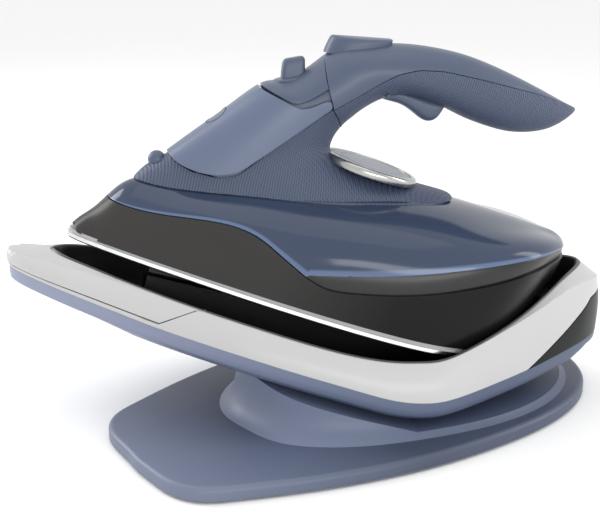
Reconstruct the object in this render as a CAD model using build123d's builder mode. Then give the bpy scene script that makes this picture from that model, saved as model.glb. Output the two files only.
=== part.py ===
"""A cordless steam iron parked on its charging dock.

The dock is a foot plate and a pedestal, with a tray that swivels on a vertical spindle. The iron
rests in the tray with its tip up. Millimetres, +Z up, origin on the swivel axis at table level, +X
from the iron's tip to its heel.
"""
import os
from math import cos, radians, sin, tan

from build123d import *

os.makedirs("parts", exist_ok=True)

# ---------------------------------------------------------------- driving dimensions
DOCK_TILT = 16.0                    # slope of the docked sole, tip up, degrees
SOLE_TIP = (-182.8, 0.0, 97.5)      # tip of the docked sole
FOOT_TURN = 27.2                    # length axis of the foot against that of the tray, degrees
SWIVEL = 2 * FOOT_TURN              # travel of the tray from stop to stop, degrees
GAP = 0.4                           # clearance between bodies that move past each other
SEAM = 0.15                         # clearance between covers of one body

PAD_H = 1.5                         # rubber feet below the foot plate
FOOT_TOP = 8.0                      # upper face of the foot plate
FOOT_FRONT, FOOT_REAR = -169.0, 106.0
FOOT_HALF_W = 83.0
PED_FRONT, PED_REAR = -111.0, 96.0
PED_HALF_W = 74.5
TURNTABLE_R = 36.0                  # round seat of the tray on the pedestal
TURNTABLE_Z = 12.0
SPINDLE_R = 9.0

HULL_FACE = 7.5                     # height of the hull's upright face below the band
HULL_TUCK = 13.0                    # how far the hull's underside is tucked in
HULL_DEPTH = 13.5                   # depth of the hull below the band
TRAY_WALL = 3.0

SOLE_T = 2.6                        # thickness of the soleplate
WALL = 2.5                          # walls of the iron's mouldings
HANDLE_HALF_W = 16.5
NECK_HALF_W = 19.0
DOOR_T = 2.0
DIAL_S, DIAL_H = 144.5, 71.0        # centre of the dial, along the sole and above it
DIAL_R = 26.0
DIAL_TILT = 2.5
SCREW_R = 1.6

# ---------------------------------------------------------------- frames
TILT_COS, TILT_SIN = cos(radians(DOCK_TILT)), sin(radians(DOCK_TILT))
SOLE = Plane(origin=SOLE_TIP, x_dir=(TILT_COS, 0, -TILT_SIN), z_dir=(TILT_SIN, 0, TILT_COS))
SIDE = Plane(origin=SOLE_TIP, x_dir=(TILT_COS, 0, -TILT_SIN), z_dir=(0, -1, 0))
FOOT = Plane.XY.rotated((0, 0, FOOT_TURN))
ELEVATION = Plane.XZ                # x runs tip to heel, y is height above the table


def across(s):
    """Section of the iron, s behind the sole's tip: x runs sideways, y up from the sole."""
    return Plane(origin=SOLE.from_local_coords((s, 0, 0)), x_dir=(0, 1, 0), z_dir=SOLE.x_dir)


def station(x):
    """Upright section of the tray at x: x runs sideways, y is height above the table."""
    return Plane(origin=(x, 0, 0), x_dir=(0, 1, 0), z_dir=(1, 0, 0))


def save(piece, label):
    """Labels one finished piece and writes it as a sub-part of its own."""
    piece.label = label
    export_step(piece, f"parts/{label}.step")


# ---------------------------------------------------------------- lines that pieces share
# The foot and the pedestal, in the foot's frame: half widths from front to rear.
FOOT_LINE = [(FOOT_FRONT, 0), (FOOT_FRONT + 0.6, 18), (FOOT_FRONT + 2.6, 33), (-158, 46.5), (-143, 54.5),
             (-120, 63.5), (-95, 71.5), (-52, 80.5), (-9, FOOT_HALF_W), (30, 80), (60, 71.5), (84, 56),
             (99, 34), (FOOT_REAR - 1.2, 15), (FOOT_REAR, 0)]
PED_LINE = [(PED_FRONT, 0), (-104, 30), (-87, 47), (-40, 67), (13, PED_HALF_W),
            (60, 62), (88, 34), (PED_REAR, 0)]

# The tray, front to rear: x, half width, height. The rim is the foot of the white band.
RIM = [(-213, 5, 82.8), (-208, 10, 81.3), (-200, 15, 79.0), (-185, 25, 74.7), (-165, 35.5, 69.0),
       (-140, 47.5, 61.8), (-116, 56, 54.9), (-92, 63.5, 48.1), (-68, 70, 41.2), (-45, 74, 34.6),
       (-22, 76.5, 27.9), (-8, 76.5, 25.5), (6, 73, 25.6), (34, 60.5, 28.0), (57, 47.5, 30.0),
       (80, 32, 31.8), (98, 17, 33.0), (108, 6, 33.8)]
# The edge of the well, inside the band, at the same stations.
WELL = [(-213, 2, 87.0), (-208, 4, 89.0), (-200, 6, 90.5), (-185, 12, 88.7), (-165, 22, 82.9),
        (-140, 37, 75.8), (-116, 47, 68.9), (-92, 55, 62.0), (-68, 61.5, 55.1), (-45, 66, 49.0),
        (-22, 67.5, 44.5), (-8, 67, 43.3), (6, 65, 44.0), (34, 55, 53.5), (57, 42, 62.0),
        (80, 22, 70.5), (98, 9, 73.0), (108, 3, 66.0)]

# The iron's body, in sections along the sole: s, half widths and heights from the foot of the
# wall over the shoulder, then the height at the middle.
BODY = [(4, (7, 4), (6, 6), (4, 8), (2, 9), 9.5),
        (11, (11.5, 3), (10, 9), (7, 14), (3, 17), 17.5),
        (19, (16, 3), (14.5, 15), (10.5, 25.5), (5, 29.5), 30.5),
        (34, (22.5, 3), (22, 18), (18.5, 28), (10.5, 37), 39.5),
        (61, (33, 3), (33.5, 20), (31.5, 32), (18, 41.5), 45),
        (86, (41.5, 3), (42.5, 20), (40, 34), (26, 45), 50),
        (110, (49, 3), (50, 20), (46.5, 36), (29, 49.5), 54.5),
        (135, (55.5, 3), (56.5, 24), (53, 42), (35, 54.5), 60),
        (162, (60.5, 3), (61.5, 30), (57, 47), (41, 57.5), 65),
        (184, (61.5, 3), (63, 32), (59.5, 49), (40, 60), 68),
        (205, (56.5, 3), (59.5, 36), (57, 54), (34, 62.5), 68),
        (222, (48, 3), (53.5, 40), (51.5, 58), (26, 64.5), 67.5),
        (238, (35, 5), (41, 44), (41.5, 60), (17, 66), 67),
        (250, (18, 12), (28, 48), (28.5, 61), (9, 65.8), 66.3),
        (259, (7, 40), (12, 52), (12, 59), (5, 63), 63.5)]

# Lines on the iron's side: s, height above the sole.
S_LINE = [(-8, 24.5), (17, 25.2), (34, 26), (62, 32), (82, 34), (93, 31.8), (104, 27), (117, 21.5)]
GROOVE_LINE = [(125, 18.8), (141, 19.6), (163, 25.2), (187, 33), (211, 42), (234, 51), (275, 58)]
TANK_LINE = [(127, 23.5), (138, 27.5), (161, 34.5), (184, 42.5), (208, 50.5), (226, 56), (275, 62)]
# The deck that the shell stands on: s, half width and height of its seam, height at the middle.
DECK = [(27, 2.5, 37.5, 40.5), (36, 9.5, 38, 45.5), (48, 14, 39.5, 48), (61, 17.5, 41.5, 51),
        (86, 24.5, 45.5, 58), (110, 27, 49.5, 65), (135, 27.5, 54.5, 69), (160, 26, 59.5, 69.5),
        (178, 17.5, 64.5, 69.8), (192, 4, 67.6, 69.4)]
# The upper housing: the front slope under the door, the neck and the handle's outline.
NECK_SIDE = [(38, 46), (40.5, 50), (43.5, 55.5), (78, 97), (99, 93), (114, 102), (119, 98), (123, 90), (120.5, 80),
             (119, 74), (119, 62), (60, 46)]
DOOR_SIDE = [(39.6, 55.6), (57, 51.5), (75, 55.8), (113.5, 100), (112, 102), (98, 95.3), (77.4, 99.8),
             (76.3, 99.6)]
DOOR_ROOM = [(36.5, 45), (39.9, 50.3), (42.9, 55.8), (76.9, 97), (78.2, 97.6), (79, 98.6), (79.2, 101), (98, 97),
             (115, 105), (125, 90), (120, 60)]
COLLAR_SIDE = [(77.8, 100.3), (98, 95.9), (105, 99.3), (114, 104.8), (118.5, 103), (119.5, 110),
               (107, 121), (104, 121), (94, 108.5)]
COLLAR_FOOT = [(79.8, 96.9), (99, 93.2), (113.6, 102.3), (112, 104), (98, 97), (80, 101)]
GRIP_LINE = [(119.6, 98.5), (127, 109), (135, 119), (142, 125.5), (150, 129.5), (163, 132.5),
             (185, 133.2), (218, 134), (242, 132.5)]
HANDLE_TOP = [(242, 132.5), (224, 136), (202, 140), (179, 143), (157, 142.4), (143, 140.4),
              (137, 135), (108, 128.5), (104, 121.5)]
HANDLE_UNDER = [(242, 132.5), (236, 123), (228, 116.5), (213, 111.5), (195.5, 111), (172, 114),
                (158, 115.5), (146, 114), (136, 107.5), (128, 98), (121.5, 81)]


# ---------------------------------------------------------------- shared forms
def closed_curve(line, inset=0.0):
    """Closed symmetric curve through half widths (q, p), drawn in by inset on every side."""
    front, rear = line[0][0], line[-1][0]
    middle = (front + rear) / 2
    along = 1 - 2 * inset / (rear - front)
    side = 1 - inset / max(p for q, p in line)
    half = [(middle + (q - middle) * along, p * side) for q, p in line]
    return Spline(*half, *[(q, -p) for q, p in half[-2:0:-1]], periodic=True)


def stack(sections, planes):
    """Solid through one polygon per plane; each polygon is given by its +y half, top last."""
    with BuildPart() as form:
        for half, plane in zip(sections, planes):
            with BuildSketch(plane):
                with BuildLine():
                    Polyline(*half, *[(-y, z) for y, z in reversed(half)], close=True)
                make_face()
        loft(ruled=True)
    return form.part


def band_form():
    """The white band's outside, filled up to the edge of the well."""
    sections = [[(rw, rz), (ww, wz)] for (x, rw, rz), (x2, ww, wz) in zip(RIM, WELL)]
    return stack(sections, [station(x) for x, w, z in RIM])


def hull_form(wall=0.0):
    """The hull's outside, or the space inside its wall, open at the top."""
    rim = RIM if not wall else RIM[2:-1]
    sections = []
    for x, w, z in rim:
        tuck = min(HULL_TUCK, 0.6 * w)
        top = z + 1.0 if wall else z
        sections.append([(w - tuck - wall, z - HULL_DEPTH + wall), (w - wall, z - HULL_FACE + wall / 2),
                         (w - wall, top)])
    return stack(sections, [station(x) for x, w, z in rim])


def well_form(inset=0.0, floor=0.0):
    """The well inside the tray: its full space, or that space inside the liner."""
    ends = [(-191.5 + inset, 3.0, 90.4, 74.0), (92.5 - inset, 7.0, 73.0, 30.0)]
    rows = [(x, w - inset, z, rz - 6.0) for (x, w, z), (x2, rw, rz) in zip(WELL, RIM) if -190 < x < 90]
    rows = [ends[0]] + rows + [ends[1]]
    sections = [[(max(w - 6.0, 0.6 * w), low + floor), (w, z - 4.0), (w, z + 2.0)] for x, w, z, low in rows]
    return stack(sections, [station(x) for x, w, z, low in rows])


def body_form(inset=0.0, rows=BODY):
    """The iron's body from the sole to its top, or a form inside it, drawn in by inset."""
    with BuildPart() as form:
        for s, foot, wall, shoulder, crown, top in rows:
            half = [(y - inset, h - inset) for y, h in (wall, shoulder, crown)]
            base = (foot[0] - inset, foot[1])
            with BuildSketch(across(s)):
                with BuildLine():
                    Spline(base, *half, (0, top - inset), *[(-y, h) for y, h in reversed(half)],
                           (-base[0], base[1]))
                    Line((-base[0], base[1]), base)
                make_face()
        loft()
    return form.part


def side_region(points, half_width):
    """A slab through the iron whose outline in the side view is the polygon of those points."""
    with BuildPart() as region:
        with BuildSketch(SIDE):
            with BuildLine():
                Polyline(*points, close=True)
            make_face()
        extrude(amount=half_width, both=True)
    return region.part


def foot_slab(line, inset, bottom, height):
    """Flat slab in the foot's frame, from one of its outlines drawn in by inset."""
    with BuildPart() as slab:
        with BuildSketch(FOOT.offset(bottom)):
            with BuildLine():
                closed_curve(line, inset)
            make_face()
        extrude(amount=height)
    return slab.part


# ================================================================ the dock's foot
COVER_T = 1.5                       # bottom cover, let into the foot plate
BALLAST_T = 2.4
SEAT_Z = 10.5                       # flat top of the pedestal round the spindle
STOP_R = 29.0                       # radius of the stop pin from the swivel axis
UNDER_Z = 7.2                       # the tray's underside, carried on to the swivel axis, less a gap
FEET = [(-140, 28), (-140, -28), (75, 42), (75, -42)]
COVER_SCREWS = [(-120, 0), (-60, 52), (-60, -52), (50, 58), (50, -58)]

with BuildPart() as foot_plate:
    add(foot_slab(FOOT_LINE, 0, PAD_H, FOOT_TOP - PAD_H))
    fillet(foot_plate.edges().group_by(Axis.Z)[-1], 2.5)
    add(foot_slab(FOOT_LINE, 6, PAD_H, COVER_T + BALLAST_T + 0.1), mode=Mode.SUBTRACT)
    Cylinder(SPINDLE_R + 0.05, 3 * FOOT_TOP, mode=Mode.SUBTRACT)
save(foot_plate.part, "foot_plate")

with BuildPart() as ballast_plate:
    add(foot_slab(FOOT_LINE, 22, PAD_H + COVER_T + 0.05, BALLAST_T))
    Cylinder(15, 3 * FOOT_TOP, mode=Mode.SUBTRACT)
save(ballast_plate.part, "ballast_plate")

with BuildPart() as bottom_cover:
    add(foot_slab(FOOT_LINE, 6.3, PAD_H, COVER_T))
    with Locations(*[FOOT.from_local_coords((q, p, PAD_H)) for q, p in COVER_SCREWS]):
        Cylinder(SCREW_R, 3 * COVER_T, mode=Mode.SUBTRACT)
save(bottom_cover.part, "bottom_cover")

with BuildPart() as bottom_screws:
    with Locations(*[FOOT.from_local_coords((q, p, PAD_H + 0.2)) for q, p in COVER_SCREWS]):
        Cylinder(SCREW_R - 0.1, COVER_T - 0.2, align=(Align.CENTER, Align.CENTER, Align.MIN))
save(bottom_screws.part, "bottom_screws")

with BuildPart() as rubber_feet:
    with Locations((0, 0, 0), *[FOOT.from_local_coords((q, p, 0)) for q, p in FEET]):
        Cylinder(8, PAD_H, align=(Align.CENTER, Align.CENTER, Align.MIN))
    chamfer(rubber_feet.edges().group_by(Axis.Z)[0], 0.4)
save(rubber_feet.part, "rubber_feet")


def pedestal_form(inset, drop):
    """The pedestal, cut away under the tray for every angle of the swivel."""
    with BuildPart() as form:
        for height, draw_in in ((FOOT_TOP, 0), (13, 5.5), (22, 8.5), (52, 11)):
            with BuildSketch(FOOT.offset(height)):
                with BuildLine():
                    closed_curve(PED_LINE, draw_in + inset)
                make_face()
        loft()
        for turn in (0, SWIVEL):
            reach = 200
            with BuildSketch(Plane.XZ.rotated((0, 0, turn))):
                with BuildLine():
                    slope = tan(radians(DOCK_TILT))
                    flat = SEAT_Z - drop
                    corner = (UNDER_Z - drop - flat) / slope
                    Polyline((-reach, flat + (reach + corner) * slope), (corner, flat), (reach, flat),
                             (reach, reach), (-reach, reach), close=True)
                make_face()
            extrude(amount=reach, both=True, mode=Mode.SUBTRACT)
        with Locations((0, 0, SEAT_Z - drop)):
            Cylinder(TURNTABLE_R + 1 + drop, reach, align=(Align.CENTER, Align.CENTER, Align.MIN),
                     mode=Mode.SUBTRACT)
    return form.part


with BuildPart() as pedestal:
    add(pedestal_form(0, 0))
    add(pedestal_form(3, 2.5), mode=Mode.SUBTRACT)
    Cylinder(SPINDLE_R + 0.05, 60, mode=Mode.SUBTRACT)
    with Locations((STOP_R, 0, 0)):
        Cylinder(1.5, 60, mode=Mode.SUBTRACT)
save(pedestal.part, "pedestal")

with BuildPart() as stop_pin:
    with Locations((STOP_R, 0, FOOT_TOP + 0.1)):
        Cylinder(1.5, 6, align=(Align.CENTER, Align.CENTER, Align.MIN))
save(stop_pin.part, "stop_pin")

with BuildPart() as spindle:
    with Locations((0, 0, PAD_H + COVER_T + 0.05)):
        Cylinder(14, BALLAST_T, align=(Align.CENTER, Align.CENTER, Align.MIN))
        Cylinder(SPINDLE_R, 15.2, align=(Align.CENTER, Align.CENTER, Align.MIN))
    chamfer(spindle.edges().group_by(Axis.Z)[-1], 0.6)
save(spindle.part, "spindle")

with BuildPart() as swivel_washer:
    with BuildSketch(Plane.XY.offset(SEAT_Z)):
        Circle(STOP_R - 4)
        Circle(SPINDLE_R + 0.3, mode=Mode.SUBTRACT)
    extrude(amount=TURNTABLE_Z - SEAT_Z - 0.05)
save(swivel_washer.part, "swivel_washer")

with BuildPart() as spindle_clip:
    with BuildSketch(Plane.XY.offset(TURNTABLE_Z + TRAY_WALL + 0.1)):
        Circle(SPINDLE_R + 4.5)
        Circle(SPINDLE_R, mode=Mode.SUBTRACT)
    extrude(amount=1.6)
save(spindle_clip.part, "spindle_clip")

with BuildPart() as cord_gland:
    with BuildSketch(Plane(FOOT.from_local_coords((82, 0, 12.6)), x_dir=(0, 0, 1), z_dir=FOOT.x_dir)):
        Circle(4.4)
    extrude(amount=19, taper=3)
    with BuildSketch(Plane(FOOT.from_local_coords((87, 0, 12.6)), x_dir=(0, 0, 1), z_dir=FOOT.x_dir)):
        Circle(2.4)
    extrude(amount=16, mode=Mode.SUBTRACT)
    add(pedestal.part, mode=Mode.SUBTRACT)
save(cord_gland.part, "cord_gland")

# ================================================================ the dock's tray
COVER_REAR = -117.0                 # rear end of the tray's front cover
LINER_T = 1.5
COVER_PLAN = [(-230, 20), (-192, 21.5), (-165, 33), (-142, 44), (COVER_REAR, 46)]
WINDOW_SIDE = [(50, 20), (52, 29.4), (62, 34), (76, 43), (92, 50), (120, 53), (120, 20)]
STRIP_S, STRIP_END, STRIP_Y, STRIP_W = 45.0, 225.0, 17.0, 7.0


def plan_region(half):
    """A tall block whose outline in plan is that half outline, mirrored about the tray's middle."""
    with BuildPart() as region:
        with BuildSketch():
            with BuildLine():
                Polyline(*half, *[(x, -y) for x, y in reversed(half)], close=True)
            make_face()
        extrude(amount=120)
    return region.part


def window_region():
    """The part of the band that the black stern window takes up."""
    with BuildPart() as region:
        with BuildSketch(ELEVATION):
            with BuildLine():
                Polyline(*WINDOW_SIDE, close=True)
            make_face()
        extrude(amount=100, both=True)
        add(well_form(-2.2), mode=Mode.SUBTRACT)
    return region.part


def trench_form():
    """The hollow under each side of the band, between its face and the well."""
    halves = []
    for (x, rw, rz), (x2, ww, wz) in list(zip(RIM, WELL))[4:-3]:
        halves.append([(ww + 1.2, rz - 1), (rw - 2.5, rz - 1), (rw - 2.8, rz + 0.5), (ww + 1.4, wz - 5)])
    with BuildPart() as form:
        for (x, w, z), points in zip(RIM[4:-3], halves):
            with BuildSketch(station(x)):
                with BuildLine():
                    Polyline(*points, close=True)
                make_face()
        loft(ruled=True)
        mirror(about=Plane.XZ)
    return form.part


with BuildPart() as tray_hull:
    add(hull_form())
    with Locations((0, 0, TURNTABLE_Z)):
        Cylinder(TURNTABLE_R, 4, align=(Align.CENTER, Align.CENTER, Align.MIN))
    add(hull_form(TRAY_WALL), mode=Mode.SUBTRACT)
    with Locations((0, 0, TURNTABLE_Z + TRAY_WALL)):
        Cylinder(TURNTABLE_R - 2, 40, align=(Align.CENTER, Align.CENTER, Align.MIN), mode=Mode.SUBTRACT)
    Cylinder(SPINDLE_R + 0.05, 60, mode=Mode.SUBTRACT)
    with BuildSketch(Plane.XY.offset(TURNTABLE_Z)):
        SlotArc(CenterArc((0, 0), STOP_R, 3.5, -SWIVEL - 7), 4)
    extrude(amount=2.2, mode=Mode.SUBTRACT)
save(tray_hull.part, "tray_hull")

with BuildPart() as band:
    add(band_form())
    add(well_form(), mode=Mode.SUBTRACT)
    add(trench_form(), mode=Mode.SUBTRACT)

with BuildPart() as bezel:
    add(band.part)
    add(plan_region(COVER_PLAN), mode=Mode.SUBTRACT)
    add(window_region(), mode=Mode.SUBTRACT)
save(bezel.part, "bezel")

with BuildPart() as front_cover:
    add(band.part)
    add(plan_region(COVER_PLAN), mode=Mode.INTERSECT)
save(front_cover.part, "front_cover")

with BuildPart() as stern_window:
    add(band.part)
    add(window_region(), mode=Mode.INTERSECT)
save(stern_window.part, "stern_window")

with BuildPart() as well_liner:
    add(well_form())
    add(well_form(LINER_T, LINER_T), mode=Mode.SUBTRACT)
save(well_liner.part, "well_liner")

with BuildPart() as rest_ribs:
    with BuildSketch(SIDE.offset(STRIP_Y)):
        with BuildLine():
            Polyline((STRIP_S, -3), (STRIP_END, -3), (STRIP_END, -40), (STRIP_S, -40), close=True)
        make_face()
    extrude(amount=STRIP_W)
    mirror(about=Plane.XZ)
    add(well_form(LINER_T, LINER_T), mode=Mode.INTERSECT)
save(rest_ribs.part, "rest_ribs")

with BuildPart() as rest_strips:
    with BuildSketch(SIDE.offset(STRIP_Y)):
        with BuildLine():
            Polyline((STRIP_S, -3), (STRIP_END, -3), (STRIP_END, -GAP), (STRIP_S, -GAP), close=True)
        make_face()
    extrude(amount=STRIP_W)
    mirror(about=Plane.XZ)
save(rest_strips.part, "rest_strips")

# The charging contacts stand at the stern of the well, behind the iron's heel.
BLOCK_X, BLOCK_Z = (73.0, 84.0), (27.0, 54.0)
PIN_Y = (-8.0, 0.0, 8.0)
PIN_Z = 44.0
PIN_OUT = 4.5

with BuildPart() as contact_block:
    with Locations(((BLOCK_X[0] + BLOCK_X[1]) / 2, 0, (BLOCK_Z[0] + BLOCK_Z[1]) / 2)):
        Box(BLOCK_X[1] - BLOCK_X[0], 26, BLOCK_Z[1] - BLOCK_Z[0])
    fillet(contact_block.edges().group_by(Axis.Z)[-1], 2)
    with BuildSketch(Plane(origin=(BLOCK_X[0], 0, PIN_Z), x_dir=(0, 1, 0), z_dir=(1, 0, 0))):
        with Locations(*[(y, 0) for y in PIN_Y]):
            Circle(1.9)
    extrude(amount=8, mode=Mode.SUBTRACT)
    add(well_form(LINER_T, LINER_T), mode=Mode.INTERSECT)
save(contact_block.part, "contact_block")

with BuildPart() as contact_pins:
    with BuildSketch(Plane(origin=(BLOCK_X[0] - PIN_OUT, 0, PIN_Z), x_dir=(0, 1, 0), z_dir=(1, 0, 0))):
        with Locations(*[(y, 0) for y in PIN_Y]):
            Circle(1.6)
    extrude(amount=PIN_OUT + 7)
save(contact_pins.part, "contact_pins")

with BuildPart() as tray_board:
    with Locations((45, 0, 20.1)):
        Box(20, 22, 1.2)
    with Locations((41, 5, 21.2), (49, -4, 21.2)):
        Box(6, 6, 1.0)
save(tray_board.part, "tray_board")

# ================================================================ the iron's body
SOLE_LINE = [(0, 0), (5, 9), (14, 14), (32, 22), (61, 33), (96, 45.3), (135, 56), (171, 62),
             (190, 61.5), (207, 56), (222, 47.5), (236, 35.5), (246, 21), (250, 9), (251, 0)]
SHIELD_H = 4.6
HEATER_H = 15.0


def sole_slab(inset, bottom, height):
    """Flat slab with the soleplate's outline drawn in by inset, bottom above the sole's face."""
    with BuildPart() as slab:
        with BuildSketch(SOLE.offset(bottom)):
            with BuildLine():
                closed_curve(SOLE_LINE, inset)
            make_face()
        extrude(amount=height)
    return slab.part


def sole_point(s, y, h):
    """Place on the iron, s behind the sole's tip and h above the sole's face."""
    return SOLE.from_local_coords((s, y, h))


def rod(start, radius, length, direction=None):
    """Round bar from a point on the iron, along the sole's normal unless a direction is given."""
    with BuildPart() as bar:
        with BuildSketch(Plane(start, z_dir=direction or SOLE.z_dir)):
            Circle(radius)
        extrude(amount=length)
    return bar.part


STEAM_HOLES = [(s, side * (0.62 * y)) for s, y in SOLE_LINE[3:9] for side in (1, -1)]
STEAM_HOLES += [(s, side * (0.3 * y)) for s, y in SOLE_LINE[3:7] for side in (1, -1)]

with BuildPart() as soleplate:
    add(sole_slab(0, 0, SOLE_T))
    chamfer(soleplate.edges().group_by(Axis(SOLE_TIP, SOLE.z_dir))[0], 0.8)
    with BuildSketch(SOLE):
        with Locations(*STEAM_HOLES):
            Circle(1.3)
    extrude(amount=SOLE_T, mode=Mode.SUBTRACT)
save(soleplate.part, "soleplate")

with BuildPart() as heat_shield:
    add(sole_slab(1.2, SOLE_T, SHIELD_H - SOLE_T))
    add(sole_slab(13, SOLE_T, SHIELD_H), mode=Mode.SUBTRACT)
save(heat_shield.part, "heat_shield")

with BuildPart() as heater_casting:
    add(sole_slab(13.5, SOLE_T, HEATER_H - SOLE_T))
    add(sole_slab(20, HEATER_H - 6, 10), mode=Mode.SUBTRACT)
save(heater_casting.part, "heater_casting")

with BuildPart() as heating_element:
    with BuildSketch(SOLE.offset(HEATER_H - 4)):
        with BuildLine():
            Spline((196, 29), (160, 35), (105, 24), (74, 0), (105, -24), (160, -35), (196, -29))
        trace(line_width=5.2)
    extrude(amount=4)
save(heating_element.part, "heating_element")

with BuildPart() as steam_cover:
    add(sole_slab(14, HEATER_H, 1.8))
save(steam_cover.part, "steam_cover")

with BuildPart() as thermostat:
    with Locations(SOLE):
        with Locations((DIAL_S - 2, 0, HEATER_H + 1.8)):
            Cylinder(9, 5, align=(Align.CENTER, Align.CENTER, Align.MIN))
            with Locations((0, 0, 5)):
                Cylinder(4, 4, align=(Align.CENTER, Align.CENTER, Align.MIN))
save(thermostat.part, "thermostat")

with BuildPart() as thermal_fuse:
    with Locations(SOLE):
        with Locations((185, 0, HEATER_H + 1.8)):
            Box(22, 8, 4, align=(Align.CENTER, Align.CENTER, Align.MIN))
save(thermal_fuse.part, "thermal_fuse")

# ---------------------------------------------------------------- skirt, cradle and tank
TOP_H = 160.0
DIAL_FOOT = 44.0                    # length of the dial's spindle below the dial
SPINDLE_TUBE_R = 4.6                # tube through the tank for the dial's spindle
LOW_LINE = S_LINE + GROOVE_LINE     # upper edge of the skirt
TANK_EDGE = S_LINE + [(s, h) for s, h in TANK_LINE]


def sole_dir(s, h):
    """Direction in the iron's plane of symmetry."""
    return SOLE.x_dir * s + SOLE.z_dir * h


dial_axis = sole_dir(sin(radians(DIAL_TILT)), cos(radians(DIAL_TILT)))
dial_centre = sole_point(DIAL_S, 0, DIAL_H)


def lifted(line, rise):
    """The same side line, moved up from the sole."""
    return [(s, h + rise) for s, h in line]


outer = body_form()
inner = body_form(WALL, BODY[3:-2])

with BuildPart() as skirt:
    add(outer)
    add(side_region([(-20, SHIELD_H + 0.1), *LOW_LINE, (300, 62), (300, SHIELD_H + 0.1)], 90),
        mode=Mode.INTERSECT)
    add(inner, mode=Mode.SUBTRACT)
    add(sole_slab(12, 0, HEATER_H + 2.5), mode=Mode.SUBTRACT)
save(skirt.part, "skirt")

with BuildPart() as cradle:
    add(body_form(0.8))
    add(side_region([*lifted(GROOVE_LINE, SEAM), *lifted(TANK_LINE, -SEAM)[::-1]], 90), mode=Mode.INTERSECT)
    add(body_form(WALL + 1, BODY[3:-2]), mode=Mode.SUBTRACT)
save(cradle.part, "cradle")

with BuildPart() as tank_room:
    add(inner)
    add(side_region([*lifted(TANK_EDGE, WALL), (300, TOP_H), (-20, TOP_H)], 90), mode=Mode.INTERSECT)

with BuildPart() as tank:
    add(outer)
    add(side_region([*lifted(TANK_EDGE, SEAM), (300, TOP_H), (-20, TOP_H)], 90), mode=Mode.INTERSECT)
    add(tank_room.part, mode=Mode.SUBTRACT)
    add(rod(dial_centre - dial_axis * 40, SPINDLE_TUBE_R, 30, dial_axis))
    add(rod(dial_centre - dial_axis * 50, SPINDLE_TUBE_R - 2, 60, dial_axis), mode=Mode.SUBTRACT)
save(tank.part, "tank")

# ---------------------------------------------------------------- shell, door and collar
FILLER_S, FILLER_H = 60.0, 75.3     # middle of the filler's mouth, on the neck's front slope
NOZZLE_S, NOZZLE_H, NOZZLE_R = 36.0, 48.6, 4.5
HINGE_S, HINGE_H, HINGE_R = 77.3, 98.9, 0.6
KNUCKLE_R = 1.3                     # round edge of the door, about its hinge pin
EAR_Y, EAR_W = 9.0, 4.0             # hinge ears of the shell, in notches of the door
EAR_REACH = 3.7                     # from the hinge pin to an ear's farthest corner
LEVER_S, LEVER_H, LEVER_LEAN = 91.0, 106.6, 25.0
ACROSS = SOLE.y_dir


with BuildPart() as deck:
    for s, half, seam, top in DECK:
        with BuildSketch(across(s)):
            with BuildLine():
                Spline((half, seam - 4), (half, seam + 1.5), (0.6 * half, (seam + 2 * top) / 3), (0, top),
                       (-0.6 * half, (seam + 2 * top) / 3), (-half, seam + 1.5), (-half, seam - 4))
                Line((-half, seam - 4), (half, seam - 4))
            make_face()
    loft()

mouth = Plane(sole_point(FILLER_S, 0, FILLER_H), x_dir=ACROSS, z_dir=sole_dir(-0.77, 0.64))
lever_axis = sole_dir(-sin(radians(LEVER_LEAN)), cos(radians(LEVER_LEAN)))

with BuildPart() as hinge_ears:
    for y in (EAR_Y, -EAR_Y):
        with BuildSketch(SIDE.offset(y - EAR_W / 2)):
            with Locations((HINGE_S, HINGE_H)):
                Circle(KNUCKLE_R)
            with Locations((HINGE_S + 1.0, HINGE_H - 1.6)):
                Rectangle(1.8, 3.0)
        extrude(amount=EAR_W)

with BuildPart() as shell:
    add(deck.part)
    add(side_region(NECK_SIDE, NECK_HALF_W))
    add(hinge_ears.part)
    add(outer, mode=Mode.SUBTRACT)
    add(side_region([(54, 59), (80, 91), (98, 88.5), (112, 96), (116, 90), (115, 74), (116, 62), (62, 53)],
                    NECK_HALF_W - WALL), mode=Mode.SUBTRACT)
    with BuildSketch(mouth.offset(-12)):
        Circle(7.5)
    extrude(amount=20, mode=Mode.SUBTRACT)
    with BuildSketch(mouth.offset(-0.6)):
        Circle(9.6)
    extrude(amount=20, mode=Mode.SUBTRACT)
    add(rod(sole_point(LEVER_S, 0, LEVER_H) - lever_axis * 30, 2.1, 40, lever_axis), mode=Mode.SUBTRACT)
    add(rod(dial_centre - dial_axis * 30, SPINDLE_TUBE_R - 2, 60, dial_axis), mode=Mode.SUBTRACT)
    add(rod(dial_centre - dial_axis * GAP, DIAL_R + GAP, 12, dial_axis), mode=Mode.SUBTRACT)
    with Locations(sole_point(NOZZLE_S, 0, NOZZLE_H)):
        Sphere(NOZZLE_R, mode=Mode.SUBTRACT)
    add(rod(sole_point(HINGE_S, -20, HINGE_H), HINGE_R, 40, ACROSS), mode=Mode.SUBTRACT)
save(shell.part, "shell")

with BuildPart() as spray_nozzle:
    with Locations(sole_point(NOZZLE_S, 0, NOZZLE_H)):
        Sphere(NOZZLE_R)
    add(rod(sole_point(NOZZLE_S, 0, NOZZLE_H), 0.5, 10, sole_dir(-0.9, 0.2)), mode=Mode.SUBTRACT)
save(spray_nozzle.part, "spray_nozzle")

with BuildPart() as filler_gasket:
    with BuildSketch(mouth.offset(-0.6)):
        Circle(9.4)
        Circle(7.6, mode=Mode.SUBTRACT)
    extrude(amount=0.9)
save(filler_gasket.part, "filler_gasket")

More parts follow.
